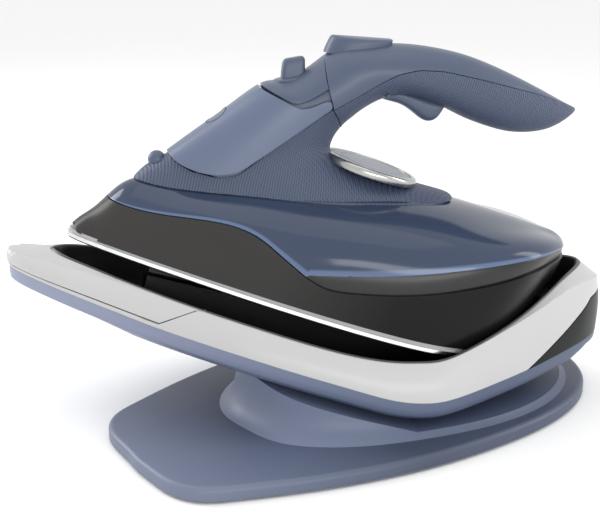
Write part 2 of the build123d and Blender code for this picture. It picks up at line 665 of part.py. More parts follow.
with BuildPart() as filler_door:
    add(side_region(DOOR_SIDE, NECK_HALF_W + GAP + DOOR_T))
    sides = filler_door.edges().group_by(Axis.Y)
    chamfer(sides[0] + sides[-1], 1)
    add(side_region(DOOR_ROOM, NECK_HALF_W + GAP), mode=Mode.SUBTRACT)
    add(rod(sole_point(HINGE_S, -NECK_HALF_W, HINGE_H), KNUCKLE_R, 2 * NECK_HALF_W, ACROSS))
    for y in (EAR_Y, -EAR_Y):
        with BuildSketch(SIDE.offset(y - EAR_W / 2 - 0.3)):
            with Locations((HINGE_S, HINGE_H)):
                Circle(EAR_REACH + GAP)
        extrude(amount=EAR_W + 0.6, mode=Mode.SUBTRACT)
    add(rod(sole_point(HINGE_S, -30, HINGE_H), HINGE_R + 0.06, 60, ACROSS), mode=Mode.SUBTRACT)
save(filler_door.part, "filler_door")

with BuildPart() as hinge_pin:
    add(rod(sole_point(HINGE_S, -18, HINGE_H), HINGE_R, 36, ACROSS))
save(hinge_pin.part, "hinge_pin")

with BuildPart() as collar:
    add(side_region(COLLAR_SIDE, NECK_HALF_W + 1.5))
    sides = collar.edges().group_by(Axis.Y)
    chamfer(sides[0] + sides[-1], 1)
    add(side_region(COLLAR_FOOT, NECK_HALF_W))
    add(rod(sole_point(HINGE_S, -30, HINGE_H), KNUCKLE_R + GAP, 60, ACROSS), mode=Mode.SUBTRACT)
    add(rod(sole_point(LEVER_S, 0, LEVER_H) - lever_axis * 2.4, 9.4, 20, lever_axis), mode=Mode.SUBTRACT)
    add(rod(sole_point(LEVER_S, 0, LEVER_H) - lever_axis * 30, 2.1, 40, lever_axis), mode=Mode.SUBTRACT)
save(collar.part, "collar")

with BuildPart() as steam_lever:
    lever_base = Plane(sole_point(LEVER_S, 0, LEVER_H) - lever_axis * 2, x_dir=ACROSS, z_dir=lever_axis)
    with BuildSketch(lever_base):
        Circle(8.8)
    extrude(amount=2.2)
    with BuildSketch(lever_base.offset(2.2)):
        Rectangle(8, 14)
    with BuildSketch(lever_base.offset(12)):
        Rectangle(6, 9)
    loft()
    fillet(steam_lever.edges().group_by(Axis(lever_base.origin, lever_axis))[-1], 1.5)
    with BuildSketch(lever_base):
        Circle(1.8)
    extrude(amount=-34)
save(steam_lever.part, "steam_lever")

# ---------------------------------------------------------------- handle
BUTTON_SIDE = [(106.5, 126.6), (105.2, 133), (117, 133.8), (136, 140), (137.4, 136.4), (120, 131.2)]
BUTTON_HALF_W = 10.0
POCKET_SIDE = [(100, 120), (106, 122.4), (139, 132.2), (139, 150), (100, 150)]
TRIGGER_SIDE = [(137, 109.5), (145, 111), (154, 109.5), (162, 106), (167.5, 104.8), (170.5, 106.5),
                (172.8, 112.5), (172.8, 118), (137, 114)]
TRIGGER_HALF_W = 7.0
TRIGGER_PIVOT = (140.5, 112.5)
TRIGGER_SLOT = [(135.5, 104), (174, 104), (174, 124), (140, 120), (135.5, 114)]
HANDLE_PLAN = [(100, 17), (120, 18.5), (140, 17.5), (160, 16.5), (200, 17), (224, 14.5), (238, 8.5), (243, 3)]
PUMP_S, PUMP_H = 126.0, 112.0       # foot of the spray pump
SPRING_R, WIRE_R, TURNS, SPRING_H = 4.4, 0.45, 4, 6.0
COVER_ROOM = [(112, 106), (112, 116), (120, 121), (134, 126.5), (146, 133), (160, 137), (180, 138),
              (200, 135.5), (218, 132), (200, 124), (150, 122), (128, 104), (122, 100)]


def handle_plan():
    """Block that gives the handle its width, from the collar to the pointed end."""
    with BuildPart() as block:
        with BuildSketch(SOLE.offset(90)):
            with BuildLine():
                Polyline(*HANDLE_PLAN, *[(s, -y) for s, y in reversed(HANDLE_PLAN)], close=True)
            make_face()
        extrude(amount=70)
    return block.part


def handle_room():
    """Space inside the handle for the pump and the trigger's works."""
    with BuildPart() as room:
        add(side_region(COVER_ROOM, HANDLE_HALF_W - WALL - 1))
    return room.part


button_axis = Vector(0, 0, 1)
pump_foot = sole_point(PUMP_S, 0, PUMP_H)

with BuildPart() as handle_cover:
    with BuildSketch(SIDE):
        with BuildLine():
            Polyline(*GRIP_LINE)
            Spline(*HANDLE_TOP[:6])
            Polyline(*HANDLE_TOP[5:], (107.3, 121.5), (119.9, 110.4), GRIP_LINE[0])
        make_face()
    extrude(amount=HANDLE_HALF_W + 3, both=True)
    add(handle_plan(), mode=Mode.INTERSECT)
    add(handle_room(), mode=Mode.SUBTRACT)
    add(side_region(POCKET_SIDE, BUTTON_HALF_W + 0.4), mode=Mode.SUBTRACT)
    with Locations(pump_foot):
        Cylinder(SPRING_R + 1, 40, align=(Align.CENTER, Align.CENTER, Align.MIN), mode=Mode.SUBTRACT)
save(handle_cover.part, "handle_cover")

with BuildPart() as handle_grip:
    with BuildSketch(SIDE):
        with BuildLine():
            Polyline(*GRIP_LINE)
            Spline(*HANDLE_UNDER)
            Line(HANDLE_UNDER[-1], GRIP_LINE[0])
        make_face()
    extrude(amount=HANDLE_HALF_W + 3, both=True)
    add(handle_plan(), mode=Mode.INTERSECT)
    add(handle_room(), mode=Mode.SUBTRACT)
    add(side_region(TRIGGER_SLOT, TRIGGER_HALF_W + 0.5), mode=Mode.SUBTRACT)
    add(rod(sole_point(TRIGGER_PIVOT[0], -13, TRIGGER_PIVOT[1]), 1.2, 26, ACROSS), mode=Mode.SUBTRACT)
    add(shell.part, mode=Mode.SUBTRACT)
save(handle_grip.part, "handle_grip")

with BuildPart() as spray_button:
    add(side_region(BUTTON_SIDE, BUTTON_HALF_W))
    sides = spray_button.edges().group_by(Axis.Y)
    chamfer(sides[0] + sides[-1], 1)
    with Locations(pump_foot + button_axis * 13.5):
        Cylinder(2.6, 8, align=(Align.CENTER, Align.CENTER, Align.MIN))
save(spray_button.part, "spray_button")

with BuildPart() as spray_pump:
    with Locations(pump_foot):
        Cylinder(6, 7, align=(Align.CENTER, Align.CENTER, Align.MIN))
save(spray_pump.part, "spray_pump")

# The button's return spring, a stack of turns round the pump's stem.
spring_foot = pump_foot + button_axis * 7.5
with BuildPart() as button_spring:
    with BuildLine():
        coil = Helix(SPRING_H / TURNS, SPRING_H, SPRING_R, center=spring_foot)
    with BuildSketch(Plane(coil @ 0, z_dir=coil % 0)):
        Circle(WIRE_R)
    sweep()
save(button_spring.part, "button_spring")

trigger_pivot = sole_point(TRIGGER_PIVOT[0], 0, TRIGGER_PIVOT[1])

with BuildPart() as steam_trigger:
    add(side_region(TRIGGER_SIDE, TRIGGER_HALF_W))
    sides = steam_trigger.edges().group_by(Axis.Y)
    chamfer(sides[0] + sides[-1], 0.8)
    add(rod(sole_point(TRIGGER_PIVOT[0], -20, TRIGGER_PIVOT[1]), 1.3, 40, ACROSS), mode=Mode.SUBTRACT)
    with BuildSketch(SIDE.offset(-2.6)):
        with Locations(TRIGGER_PIVOT):
            Circle(3.6)
    extrude(amount=5.2, mode=Mode.SUBTRACT)
save(steam_trigger.part, "steam_trigger")

with BuildPart() as trigger_pin:
    add(rod(sole_point(TRIGGER_PIVOT[0], -13, TRIGGER_PIVOT[1]), 1.2, 26, ACROSS))
save(trigger_pin.part, "trigger_pin")

with BuildPart() as trigger_spring:
    with BuildLine():
        coil = Helix(1.0, 4.0, 2.3, center=sole_point(TRIGGER_PIVOT[0], 0, TRIGGER_PIVOT[1]) + ACROSS * -2,
                     direction=ACROSS)
    with BuildSketch(Plane(coil @ 0, z_dir=coil % 0)):
        Circle(0.35)
    sweep()
save(trigger_spring.part, "trigger_spring")

with BuildPart() as trigger_switch:
    with Locations(SOLE):
        with Locations((162, 0, 124.5)):
            Box(14, 8, 6, align=(Align.CENTER, Align.CENTER, Align.MIN))
save(trigger_switch.part, "trigger_switch")

# ---------------------------------------------------------------- dial and other works
DIAL_T = 5.0
dial_base = Plane(dial_centre, x_dir=ACROSS, z_dir=dial_axis)

with BuildPart() as dial_ring:
    with BuildSketch(dial_base):
        Circle(DIAL_R)
        Circle(DIAL_R - 3.5, mode=Mode.SUBTRACT)
    extrude(amount=DIAL_T)
    rims = dial_ring.edges().group_by(Axis(dial_base.origin, dial_axis))
    fillet(rims[-1].sort_by(SortBy.RADIUS)[-1:] + rims[0].sort_by(SortBy.RADIUS)[-1:], 1.8)
save(dial_ring.part, "dial_ring")

with BuildPart() as dial_disc:
    with BuildSketch(dial_base.offset(0.8)):
        Circle(DIAL_R - 3.6)
    extrude(amount=DIAL_T - 1)
save(dial_disc.part, "dial_disc")

with BuildPart() as dial_spindle:
    add(rod(dial_centre - dial_axis * DIAL_FOOT, 2.0, DIAL_FOOT + 0.5, dial_axis))
save(dial_spindle.part, "dial_spindle")

with BuildPart() as control_board:
    with Locations(SOLE):
        with Locations((92, 0, 72)):
            Box(18, 24, 1.4)
        with Locations((87, -5, 73.5), (96, 6, 73.7)):
            Box(6, 6, 1.6)
save(control_board.part, "control_board")

with BuildPart() as heel_block:
    with Locations(Location((65.6, 0, PIN_Z))):
        Box(1.6, 24, 7)
    add(outer, mode=Mode.SUBTRACT)
save(heel_block.part, "heel_block")

with BuildPart() as feed_tube:
    add(rod(sole_point(108, 0, HEATER_H + 1.9), 2.5, 7))
    add(rod(sole_point(108, 0, HEATER_H + 1.8), 1.4, 8), mode=Mode.SUBTRACT)
save(feed_tube.part, "feed_tube")

with BuildPart() as body_screws:
    for s, y in ((60, 0), (200, 25), (200, -25)):
        add(rod(sole_point(s, y, HEATER_H + 1.9), 3, 2))
save(body_screws.part, "body_screws")
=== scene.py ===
"""Looks of the cordless iron and its charging dock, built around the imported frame.

Tables are in millimetres. The iron's own tables use s, the distance behind the sole's tip along the
sole, h, the height above the sole's face, and y, sideways. The tray's tables use the row's x and z.
"""
from math import cos, pi, radians, sin

import bmesh
import bpy
import numpy as np
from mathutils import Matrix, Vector


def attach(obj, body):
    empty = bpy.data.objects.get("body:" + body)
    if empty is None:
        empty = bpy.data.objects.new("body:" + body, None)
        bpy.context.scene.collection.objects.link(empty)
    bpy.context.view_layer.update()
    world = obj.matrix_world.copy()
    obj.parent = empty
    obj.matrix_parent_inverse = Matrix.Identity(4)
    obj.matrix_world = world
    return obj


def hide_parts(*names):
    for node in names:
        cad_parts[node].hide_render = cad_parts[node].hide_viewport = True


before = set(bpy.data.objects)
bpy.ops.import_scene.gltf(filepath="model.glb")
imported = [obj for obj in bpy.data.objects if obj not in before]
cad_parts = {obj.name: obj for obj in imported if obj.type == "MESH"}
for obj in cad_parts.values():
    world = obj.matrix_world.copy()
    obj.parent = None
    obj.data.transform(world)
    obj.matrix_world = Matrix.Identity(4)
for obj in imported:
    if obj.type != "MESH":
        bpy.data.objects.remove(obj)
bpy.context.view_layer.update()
MM = 0.001
DOCK_TILT = radians(16)
SOLE_TIP = np.array([-182.8, 0.0, 97.5])
ROLL = [radians(a) for a in (0, 30, 60, 90)]     # steps round the rolled edge of a moulding
MERGE, SMALLEST = 4e-6, 2e-6                     # metres: points closer than this are joined, edges dropped


# ---------- curves and surfaces
def iron_space(points):
    """Rows of (s, y, h) as rows of (x, y, z) in the row frame."""
    s, y, h = np.moveaxis(np.asarray(points, float), -1, 0)
    turned = [s * cos(DOCK_TILT) + h * sin(DOCK_TILT), y, h * cos(DOCK_TILT) - s * sin(DOCK_TILT)]
    return SOLE_TIP + np.stack(turned, -1)


def middle(s, h):
    """The point (s, h) of the iron's middle plane, in the row frame."""
    return iron_space((s, 0, h))


def unit(vectors):
    return vectors / np.maximum(np.linalg.norm(vectors, axis=-1, keepdims=True), 1e-9)


def spline(knots, values, places):
    """Natural cubic spline through values at knots, read at places."""
    knots, values, places = (np.asarray(v, float) for v in (knots, values, places))
    count, gap = len(knots), np.diff(knots)
    matrix, right = np.eye(count), np.zeros((count,) + values.shape[1:])
    for i in range(1, count - 1):
        matrix[i, i - 1:i + 2] = gap[i - 1], 2 * (gap[i - 1] + gap[i]), gap[i]
        right[i] = 6 * ((values[i + 1] - values[i]) / gap[i] - (values[i] - values[i - 1]) / gap[i - 1])
    bend = np.linalg.solve(matrix, right.reshape(count, -1)).reshape(right.shape)
    cell = np.clip(np.searchsorted(knots, places, side="right") - 1, 0, count - 2)
    shape = places.shape + (1,) * (values.ndim - 1)
    g, lo, hi = (v.reshape(shape) for v in (gap[cell], places - knots[cell], knots[cell + 1] - places))
    curve = bend[cell] * hi ** 3 / (6 * g) + bend[cell + 1] * lo ** 3 / (6 * g)
    return (curve + (values[cell] / g - bend[cell] * g / 6) * hi
            + (values[cell + 1] / g - bend[cell + 1] * g / 6) * lo)


def chords(points):
    """Distance along a polyline at each of its points, from 0 to 1."""
    run = np.concatenate([[0], np.cumsum(np.linalg.norm(np.diff(points, axis=0), axis=-1))])
    return run / run[-1]


def crowded(count, part):
    """Steps from -1 to 1 that come closer together towards both ends."""
    return np.sin(np.linspace(-1, 1, count) * pi / 2 * part) / sin(pi / 2 * part)


class Surface:
    """A dense grid of points, read at fractional places u and v between 0 and 1."""

    def __init__(self, grid):
        self.grid = grid
        self.normals = unit(np.cross(np.gradient(grid, axis=0), np.gradient(grid, axis=1)))

    def read(self, table, u, v):
        rows, columns = table.shape[:2]
        a, b = np.clip(u, 0, 1) * (rows - 1), np.clip(v, 0, 1) * (columns - 1)
        i, j = np.minimum(a.astype(int), rows - 2), np.minimum(b.astype(int), columns - 2)
        fa, fb = (a - i)[..., None], (b - j)[..., None]
        near = table[i, j] * (1 - fb) + table[i, j + 1] * fb
        far = table[i + 1, j] * (1 - fb) + table[i + 1, j + 1] * fb
        return near * (1 - fa) + far * fa

    def point(self, u, v, inset=0.0):
        return self.read(self.grid, u, v) - unit(self.read(self.normals, u, v)) * inset


# ---------- meshes
def mesh_object(name, points, faces, material, tone=None):
    """A mesh object in the row frame from points in millimetres, with a tone for each where given."""
    mesh = bpy.data.meshes.new(name)
    mesh.from_pydata((np.asarray(points).reshape(-1, 3) * MM).tolist(), [], faces)
    if tone is not None:
        mesh.attributes.new("tone", "FLOAT", "POINT").data.foreach_set("value", tone)
    mesh.materials.append(material)
    piece = bpy.data.objects.new(name, mesh)
    bpy.context.scene.collection.objects.link(piece)
    return piece


def finish_mesh(piece, sharp=38):
    """Joins points that coincide, drops what that leaves without area, and shades it smooth."""
    work = bmesh.new()
    work.from_mesh(piece.data)
    bmesh.ops.remove_doubles(work, verts=work.verts, dist=MERGE)
    bmesh.ops.dissolve_degenerate(work, edges=work.edges, dist=SMALLEST)
    bmesh.ops.recalc_face_normals(work, faces=work.faces)
    work.to_mesh(piece.data)
    work.free()
    piece.data.shade_smooth()
    piece.data.set_sharp_from_angle(angle=radians(sharp))
    return piece


def grid_faces(rows, columns, loop=False, start=0):
    """Quads of a grid of points stored row by row; a loop joins its last column to its first."""
    faces = []
    for i in range(rows - 1):
        for j in range(columns if loop else columns - 1):
            k = (j + 1) % columns
            quad = (i * columns + j, i * columns + k, (i + 1) * columns + k, (i + 1) * columns + j)
            faces.append(tuple(start + q for q in quad))
    return faces


def moulding(name, grids, thickness, material, away, loop=False, edge=0.4, sharp=38, tone=None,
             normals=None):
    """A closed thin moulding from grids of outside points; first and last rows get a rolled edge.

    away is a point on the inside of the moulding. tone is one value per point, for the material.
    normals are the grids' own, where the steps of a grid are too slanting to give them.
    """
    points, faces, tones = [], [], []
    for number, grid in enumerate(grids):
        down = np.gradient(grid, axis=0)
        side = (np.roll(grid, -1, 1) - np.roll(grid, 1, 1)) if loop else np.gradient(grid, axis=1)
        normal = unit(np.cross(down, side)) if normals is None else normals[number]
        if np.sum(normal * (grid - away)) < 0:
            normal = -normal
        rows, columns = grid.shape[:2]

        def rolled(row, outward):
            line, up, out = grid[row], normal[row], unit(outward[row])
            return [line - out * edge * (1 - sin(a)) - up * edge * (1 - cos(a)) for a in ROLL]

        outside = np.array(rolled(0, -down)[::-1] + list(grid[1:-1]) + rolled(-1, down))
        inside = grid - normal * thickness
        pad = len(ROLL) - 1
        match = np.clip(np.arange(rows + 2 * pad) - pad, 0, rows - 1)
        start, back = len(points), len(points) + outside.shape[0] * columns
        points.extend(outside.reshape(-1, 3))
        points.extend(inside.reshape(-1, 3))
        faces.extend(grid_faces(outside.shape[0], columns, loop, start))
        faces.extend(f[::-1] for f in grid_faces(rows, columns, loop, back))
        if tone is not None:
            tones += [tone[number][match].ravel(), tone[number].ravel()]

        def outer(r, c):
            return start + r * columns + c % columns

        def inner(r, c):
            return back + r * columns + c % columns

        last = outside.shape[0] - 1
        for c in range(columns if loop else columns - 1):
            faces.append((outer(0, c + 1), outer(0, c), inner(0, c), inner(0, c + 1)))
            faces.append((outer(last, c), outer(last, c + 1), inner(rows - 1, c + 1), inner(rows - 1, c)))
        if not loop:
            for c in (0, columns - 1):
                for r in range(last):
                    wall = [outer(r, c), outer(r + 1, c), inner(match[r + 1], c), inner(match[r], c)]
                    faces.append(tuple(dict.fromkeys(wall)))
    tone = np.concatenate(tones) if tones else None
    return finish_mesh(mesh_object(name, points, faces, material, tone), sharp)


def solid_loft(name, rings, material, sharp=38):
    """A closed solid through closed rings of points, with its first and last ring filled."""
    rings = np.asarray(rings, float)
    count, size = rings.shape[:2]
    points = list(rings.reshape(-1, 3)) + [rings[0].mean(0), rings[-1].mean(0)]
    faces = grid_faces(count, size, loop=True)
    for j in range(size):
        k = (j + 1) % size
        faces.append((count * size, k, j))
        faces.append((count * size + 1, (count - 1) * size + j, (count - 1) * size + k))
    return finish_mesh(mesh_object(name, points, faces, material), sharp)


def lathe(name, profile, centre, axis, material):
    """A closed turned piece; profile rows are (radius, distance along the axis)."""
    axis = np.asarray(axis, float) / np.linalg.norm(axis)
    side = unit(np.cross(axis, [0, 1, 0]))
    other = np.cross(axis, side)
    turn = np.linspace(0, 2 * pi, 144, endpoint=False)
    spokes = np.cos(turn)[:, None] * side + np.sin(turn)[:, None] * other
    rings = [np.asarray(centre) + r * spokes + d * axis for r, d in profile]
    return solid_loft(name, rings, material, 35)


def superellipse(half_w, half_h, power, count=56):
    """Closed outline as rows of (sideways, up)."""
    turn = np.linspace(0, 2 * pi, count, endpoint=False)
    c, s = np.cos(turn), np.sin(turn)
    return np.stack([half_w * np.sign(c) * np.abs(c) ** (2 / power),
                     half_h * np.sign(s) * np.abs(s) ** (2 / power)], -1)


def stand_for(piece, body, *nodes):
    """The piece rides on a body and is shown in place of those CAD nodes."""
    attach(piece, body)
    if nodes:
        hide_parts(*nodes)


# ---------- materials
MOTTLE, SHEEN, GRAIN = 9, 60, 2600               # scales of the noise in a plastic, in cells per metre


class Shader:
    """A procedural material, built node by node round one Principled shader."""

    def __init__(self, name, roughness, **flat):
        self.material = bpy.data.materials.new(name)
        self.material.use_nodes = True
        self.tree = self.material.node_tree
        self.shader = self.tree.nodes["Principled BSDF"]
        self.shader.inputs["Roughness"].default_value = roughness
        for socket, value in flat.items():
            self.shader.inputs[socket.replace("_", " ")].default_value = value
        self.place = self.add("ShaderNodeTexCoord").outputs["Object"]

    def add(self, kind, **settings):
        node = self.tree.nodes.new(kind)
        for key, value in settings.items():
            if hasattr(node, key):
                setattr(node, key, value)
            else:
                node.inputs[key].default_value = value
        return node

    def link(self, source, target):
        self.tree.links.new(source, target)

    def noise(self, scale, detail=3.0):
        node = self.add("ShaderNodeTexNoise", Scale=scale, Detail=detail)
        self.link(self.place, node.inputs["Vector"])
        return node.outputs["Fac"]

    def maths(self, operation, first, second=None):
        node = self.add("ShaderNodeMath", operation=operation)
        for socket, value in zip(node.inputs, (first, second)):
            if isinstance(value, (int, float)):
                socket.default_value = value
            elif value is not None:
                self.link(value, socket)
        return node.outputs[0]

    def ramp(self, source, stops):
        node = self.add("ShaderNodeValToRGB")
        self.link(source, node.inputs["Fac"])
        for element, (place, colour) in zip(node.color_ramp.elements, (stops[0], stops[-1])):
            element.position, element.color = place, (*colour, 1)
        for place, colour in stops[1:-1]:
            node.color_ramp.elements.new(place).color = (*colour, 1)
        return node.outputs["Color"]

    def colour(self, source):
        self.link(source, self.shader.inputs["Base Color"])
        return self

    def roughness(self, low, high, scale):
        node = self.add("ShaderNodeMapRange")
        self.link(self.noise(scale), node.inputs["Value"])
        node.inputs["To Min"].default_value, node.inputs["To Max"].default_value = low, high
        self.link(node.outputs["Result"], self.shader.inputs["Roughness"])
        return self

    def bump(self, height, distance, strength):
        node = self.add("ShaderNodeBump", Distance=distance, Strength=strength)
        self.link(height, node.inputs["Height"])
        self.link(node.outputs["Normal"], self.shader.inputs["Normal"])
        return self

    def satin(self, roughness, grain):
        """The slightly uneven sheen and the fine spark-eroded grain of moulded plastic."""
        self.roughness(roughness * 0.88, roughness * 1.12, SHEEN)
        return self.bump(self.noise(GRAIN, 1.0), grain, 0.35).material


def tinted(colour, spread):
    """Two close shades of a colour, for slight variation over a surface."""
    darker, lighter = (tuple(c * share for c in colour) for share in (1 - spread, 1 + spread))
    return [(0.3, darker), (0.7, lighter)]


def moulded(name, colour, roughness=0.42, grain=0.00002, **flat):
    """Satin moulded plastic with slight mottling."""
    work = Shader(name, roughness, **flat)
    work.colour(work.ramp(work.noise(MOTTLE), tinted(colour, 0.05)))
    return work.satin(roughness, grain)


def ribbed(name, colour, pitch=0.00105, crossing=0.55):
    """Soft plastic with fine slanting ribs, crossed by fainter ones; the pitch is in metres."""
    work = Shader(name, 0.5)
    waves = []
    for slant in ((0.8, 0.35, -0.3), (0.55, -0.45, 0.62)):
        node = work.add("ShaderNodeVectorMath", operation="DOT_PRODUCT")
        work.link(work.place, node.inputs[0])
        node.inputs[1].default_value = slant
        phase = work.maths("MULTIPLY", node.outputs["Value"], 2 * pi / pitch)
        waves.append(work.maths("SINE", phase))
    height = work.maths("ADD", waves[0], work.maths("MULTIPLY", waves[1], crossing))
    shade = work.add("ShaderNodeMapRange")
    work.link(height, shade.inputs["Value"])
    shade.inputs["From Min"].default_value, shade.inputs["From Max"].default_value = -1.5, 1.5
    # The ribs' colour follows their height: the lighter crests are painted light and the darker grooves
    # painted shade.
    dark, light = tuple(c * 0.62 for c in colour), tuple(c * 1.3 for c in colour)
    work.colour(work.ramp(shade.outputs["Result"], [(0.1, dark), (0.9, light)]))
    return work.bump(height, 0.00012, 0.8).material


def polished(name, colour, roughness, scale=400):
    """Metal with faint drawn marks."""
    work = Shader(name, roughness, Metallic=1.0)
    work.colour(work.ramp(work.noise(scale), tinted(colour, 0.06)))
    work.roughness(roughness * 0.7, roughness * 1.4, scale)
    return work.bump(work.noise(scale * 3), 0.00001, 0.2).material


def painted_tone_ramp(name, stops, roughness, **flat):
    """Glossy plastic whose colour follows the mesh's own tone from 0 to 1; the tone carries painted light and
    reflection.
    """
    work = Shader(name, roughness, **flat)
    work.colour(work.ramp(work.add("ShaderNodeAttribute", attribute_name="tone").outputs["Fac"], stops))
    return work.roughness(roughness * 0.8, roughness * 1.25, 45).material


def painted_gradient(name, direction, offset, stops):
    """Satin plastic whose blue changes slowly along a direction of the row frame, as painted light and shade.
    """
    work = Shader(name, 0.42)
    along = work.add("ShaderNodeVectorMath", operation="DOT_PRODUCT")
    work.link(work.place, along.inputs[0])
    along.inputs[1].default_value = direction
    work.colour(work.ramp(work.maths("ADD", along.outputs["Value"], offset), stops))
    return work.satin(0.42, 0.00002)


DOCK_BLUE = moulded("dock_satin_blue", (0.148, 0.182, 0.29), 0.42)
COVER_BLUE = moulded("cover_satin_blue", (0.06, 0.08, 0.13), 0.38)
DOOR_BLUE = moulded("door_satin_blue", (0.096, 0.122, 0.192), 0.38)
RIBBED_BLUE = ribbed("ribbed_soft_blue", (0.052, 0.07, 0.122))
WHITE = moulded("bezel_gloss_white", (0.45, 0.45, 0.45), 0.32, 0.000008)
BLACK = moulded("liner_satin_black", (0.01, 0.01, 0.011), 0.3)
LIP_GREY = moulded("well_lip_grey", (0.06, 0.06, 0.062), 0.34)
WINDOW = moulded("window_gloss_black", (0.008, 0.009, 0.009), 0.3, 0.000004, Specular_IOR_Level=0.12)
# The tank's colour is lighter in a thin strip along its lower edges: painted light along the edges of the
# tinted plastic.
TANK_PAINTED_LIGHT = painted_tone_ramp("tank_tinted_clear_painted_light",
             [(0.0, (0.1, 0.14, 0.24)), (0.035, (0.09, 0.13, 0.22)), (0.05, (0.036, 0.051, 0.09)),
              (1.0, (0.03, 0.043, 0.08))], 0.12, Specular_IOR_Level=0.35)
# The skirt is painted dark grey at the nose and black towards the tail: a painted reflection of the bright
# room on its front.
SKIRT_PAINTED_REFLECTION = painted_tone_ramp("skirt_gloss_black_painted_reflection",
              [(0.0, (0.04, 0.038, 0.037)), (0.4, (0.034, 0.033, 0.032)), (0.62, (0.007, 0.007, 0.007)),
               (1.0, (0.005, 0.005, 0.005))], 0.26, Specular_IOR_Level=0.16)
CHROME = polished("sole_chrome", (0.86, 0.86, 0.87), 0.1)
DIAL_METAL = polished("dial_satin_nickel", (0.44, 0.44, 0.43), 0.26, 250)
# The foot is painted darker towards its middle, under the tray, and lighter out to its front corner: painted
# shade cast by the tray.
FOOT_BLUE_PAINTED_SHADE = painted_gradient("foot_satin_blue_painted_shade", (-3.2, -3.2, 0), 0.0,
                   [(0.1, (0.052, 0.066, 0.112)), (0.34, (0.046, 0.059, 0.098)),
                    (0.55, (0.085, 0.106, 0.165)), (0.8, (0.14, 0.165, 0.24))])
# The hull and the pedestal are painted lightest at the bow and darker towards the stern: painted light where
# the lamps fall on the bow.
HULL_BLUE_PAINTED_LIGHT = painted_gradient("hull_satin_blue_painted_light", (3.1, 0, 0), 0.665,
                   [(0.0, (0.245, 0.275, 0.37)), (0.22, (0.19, 0.215, 0.31)),
                    (0.5, (0.11, 0.138, 0.215)), (0.75, (0.066, 0.086, 0.145)),
                    (1.0, (0.062, 0.082, 0.14))])
STRIP_GREY = moulded("strip_grey", (0.34, 0.34, 0.345), 0.38, 0.00001)
STEEL = polished("plain_steel", (0.5, 0.5, 0.51), 0.3, 300)
ALUMINIUM = polished("cast_aluminium", (0.56, 0.56, 0.57), 0.45, 900)
BRASS = polished("contact_brass", (0.72, 0.52, 0.22), 0.25, 300)
RUBBER = moulded("black_rubber", (0.018, 0.018, 0.018), 0.75, 0.00003)
IVORY = moulded("ivory_plastic", (0.62, 0.61, 0.57), 0.45)
BOARD = moulded("board_green", (0.015, 0.1, 0.045), 0.4)
DIAL_BLUE = moulded("dial_face_blue", (0.2, 0.225, 0.285), 0.34)
PAD_BLUE = moulded("pad_ring_blue", (0.022, 0.03, 0.055), 0.5)

# CAD pieces that are shown as they are, by the material that each group gets
CARRIED = {
    "dock": (HULL_BLUE_PAINTED_LIGHT, "pedestal"),
    "foot": (FOOT_BLUE_PAINTED_SHADE, "foot_plate"),
    "steel": (STEEL, "ballast_plate bottom_screws stop_pin spindle spindle_clip heating_element "
                     "button_spring trigger_spring body_screws dial_spindle"),
    "black": (BLACK, "bottom_cover rest_ribs contact_block trigger_switch heel_block"),
    "rubber": (RUBBER, "rubber_feet cord_gland rest_strips feed_tube filler_gasket"),
    "ivory": (IVORY, "swivel_washer thermal_fuse spray_pump"),
    "brass": (BRASS, "contact_pins thermostat"),
    "board": (BOARD, "tray_board control_board"),
    "chrome": (CHROME, "soleplate"),
    "strip": (STRIP_GREY, "heat_shield"),
    "grip": (RIBBED_BLUE, "trigger_pin"),
    "aluminium": (ALUMINIUM, "heater_casting steam_cover"),
}
for material, names in CARRIED.values():
    for name in names.split():
        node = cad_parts[name]
        node.data.materials.clear()
        node.data.materials.append(material)


# ---------- the iron's body
# Sections along the sole: s, half widths and heights from the foot of the wall over the shoulder,
# then the height at the middle.
BODY = [(1.5, (3, 3.6), (2.7, 4.6), (1.8, 5.4), (0.9, 5.8), 5.9),
        (4, (7, 4), (6, 6), (4, 8), (2, 9), 9.5),
        (11, (11.5, 3), (10, 9), (7, 14), (3, 17), 17.5),
        (19, (16, 3), (14.5, 15), (10.5, 24.0), (5, 28.5), 29.8),
        (34, (22.5, 3), (22, 18), (18.5, 28), (10.5, 36.5), 39.5),
        (61, (33, 3), (33.5, 20), (31.5, 32), (18, 42), 46),
        (86, (41.5, 3), (42.5, 20), (40, 34), (26, 46), 51.5),
        (110, (49, 3), (50, 20), (46.5, 37), (29, 50.5), 57),
        (135, (55.5, 3), (56.5, 24), (53, 42), (35, 55), 62),
        (162, (60.5, 3), (61.5, 30), (57, 47), (41, 58.5), 66),
        (184, (61.5, 3), (63, 32), (59.5, 49), (40, 61.5), 68),
        (205, (56.5, 3), (59.5, 36), (57, 53), (34, 63.5), 68.3),
        (222, (48, 4), (53.5, 40), (51.5, 57), (26, 65), 67.7),
        (238, (35, 9), (41, 44), (41, 59.5), (17, 65.6), 66.8),
        (250, (19, 20), (27, 48), (27.5, 60.5), (9, 65.2), 65.9),
        (258, (8, 38), (13, 50), (13.5, 60), (5, 64), 64.4),
        (261, (2, 48), (3.5, 54), (3.5, 60.5), (1.5, 62.4), 62.6)]
# Side lines as (s, h): the seam of skirt and tank, then the lower and the upper edge of the groove.
S_LINE = [(-8, 24.5), (17, 25.2), (34, 26), (62, 31.5), (78, 33.6), (92, 32), (104, 27), (118, 20.6)]
GROOVE_LINE = [(118, 20.6), (127, 18.2), (141, 19.6), (163, 25.2), (187, 33), (211, 42), (234, 51),
               (262, 58)]
TANK_LINE = [(118, 21.6), (138, 27.3), (161, 34.5), (184, 42.5), (208, 50.5), (226, 56), (244, 60),
             (262, 62.2)]
BODY_FROM, BODY_TO = BODY[0][0], BODY[-1][0]
HALF = 90                                        # steps from the foot of the wall to the top


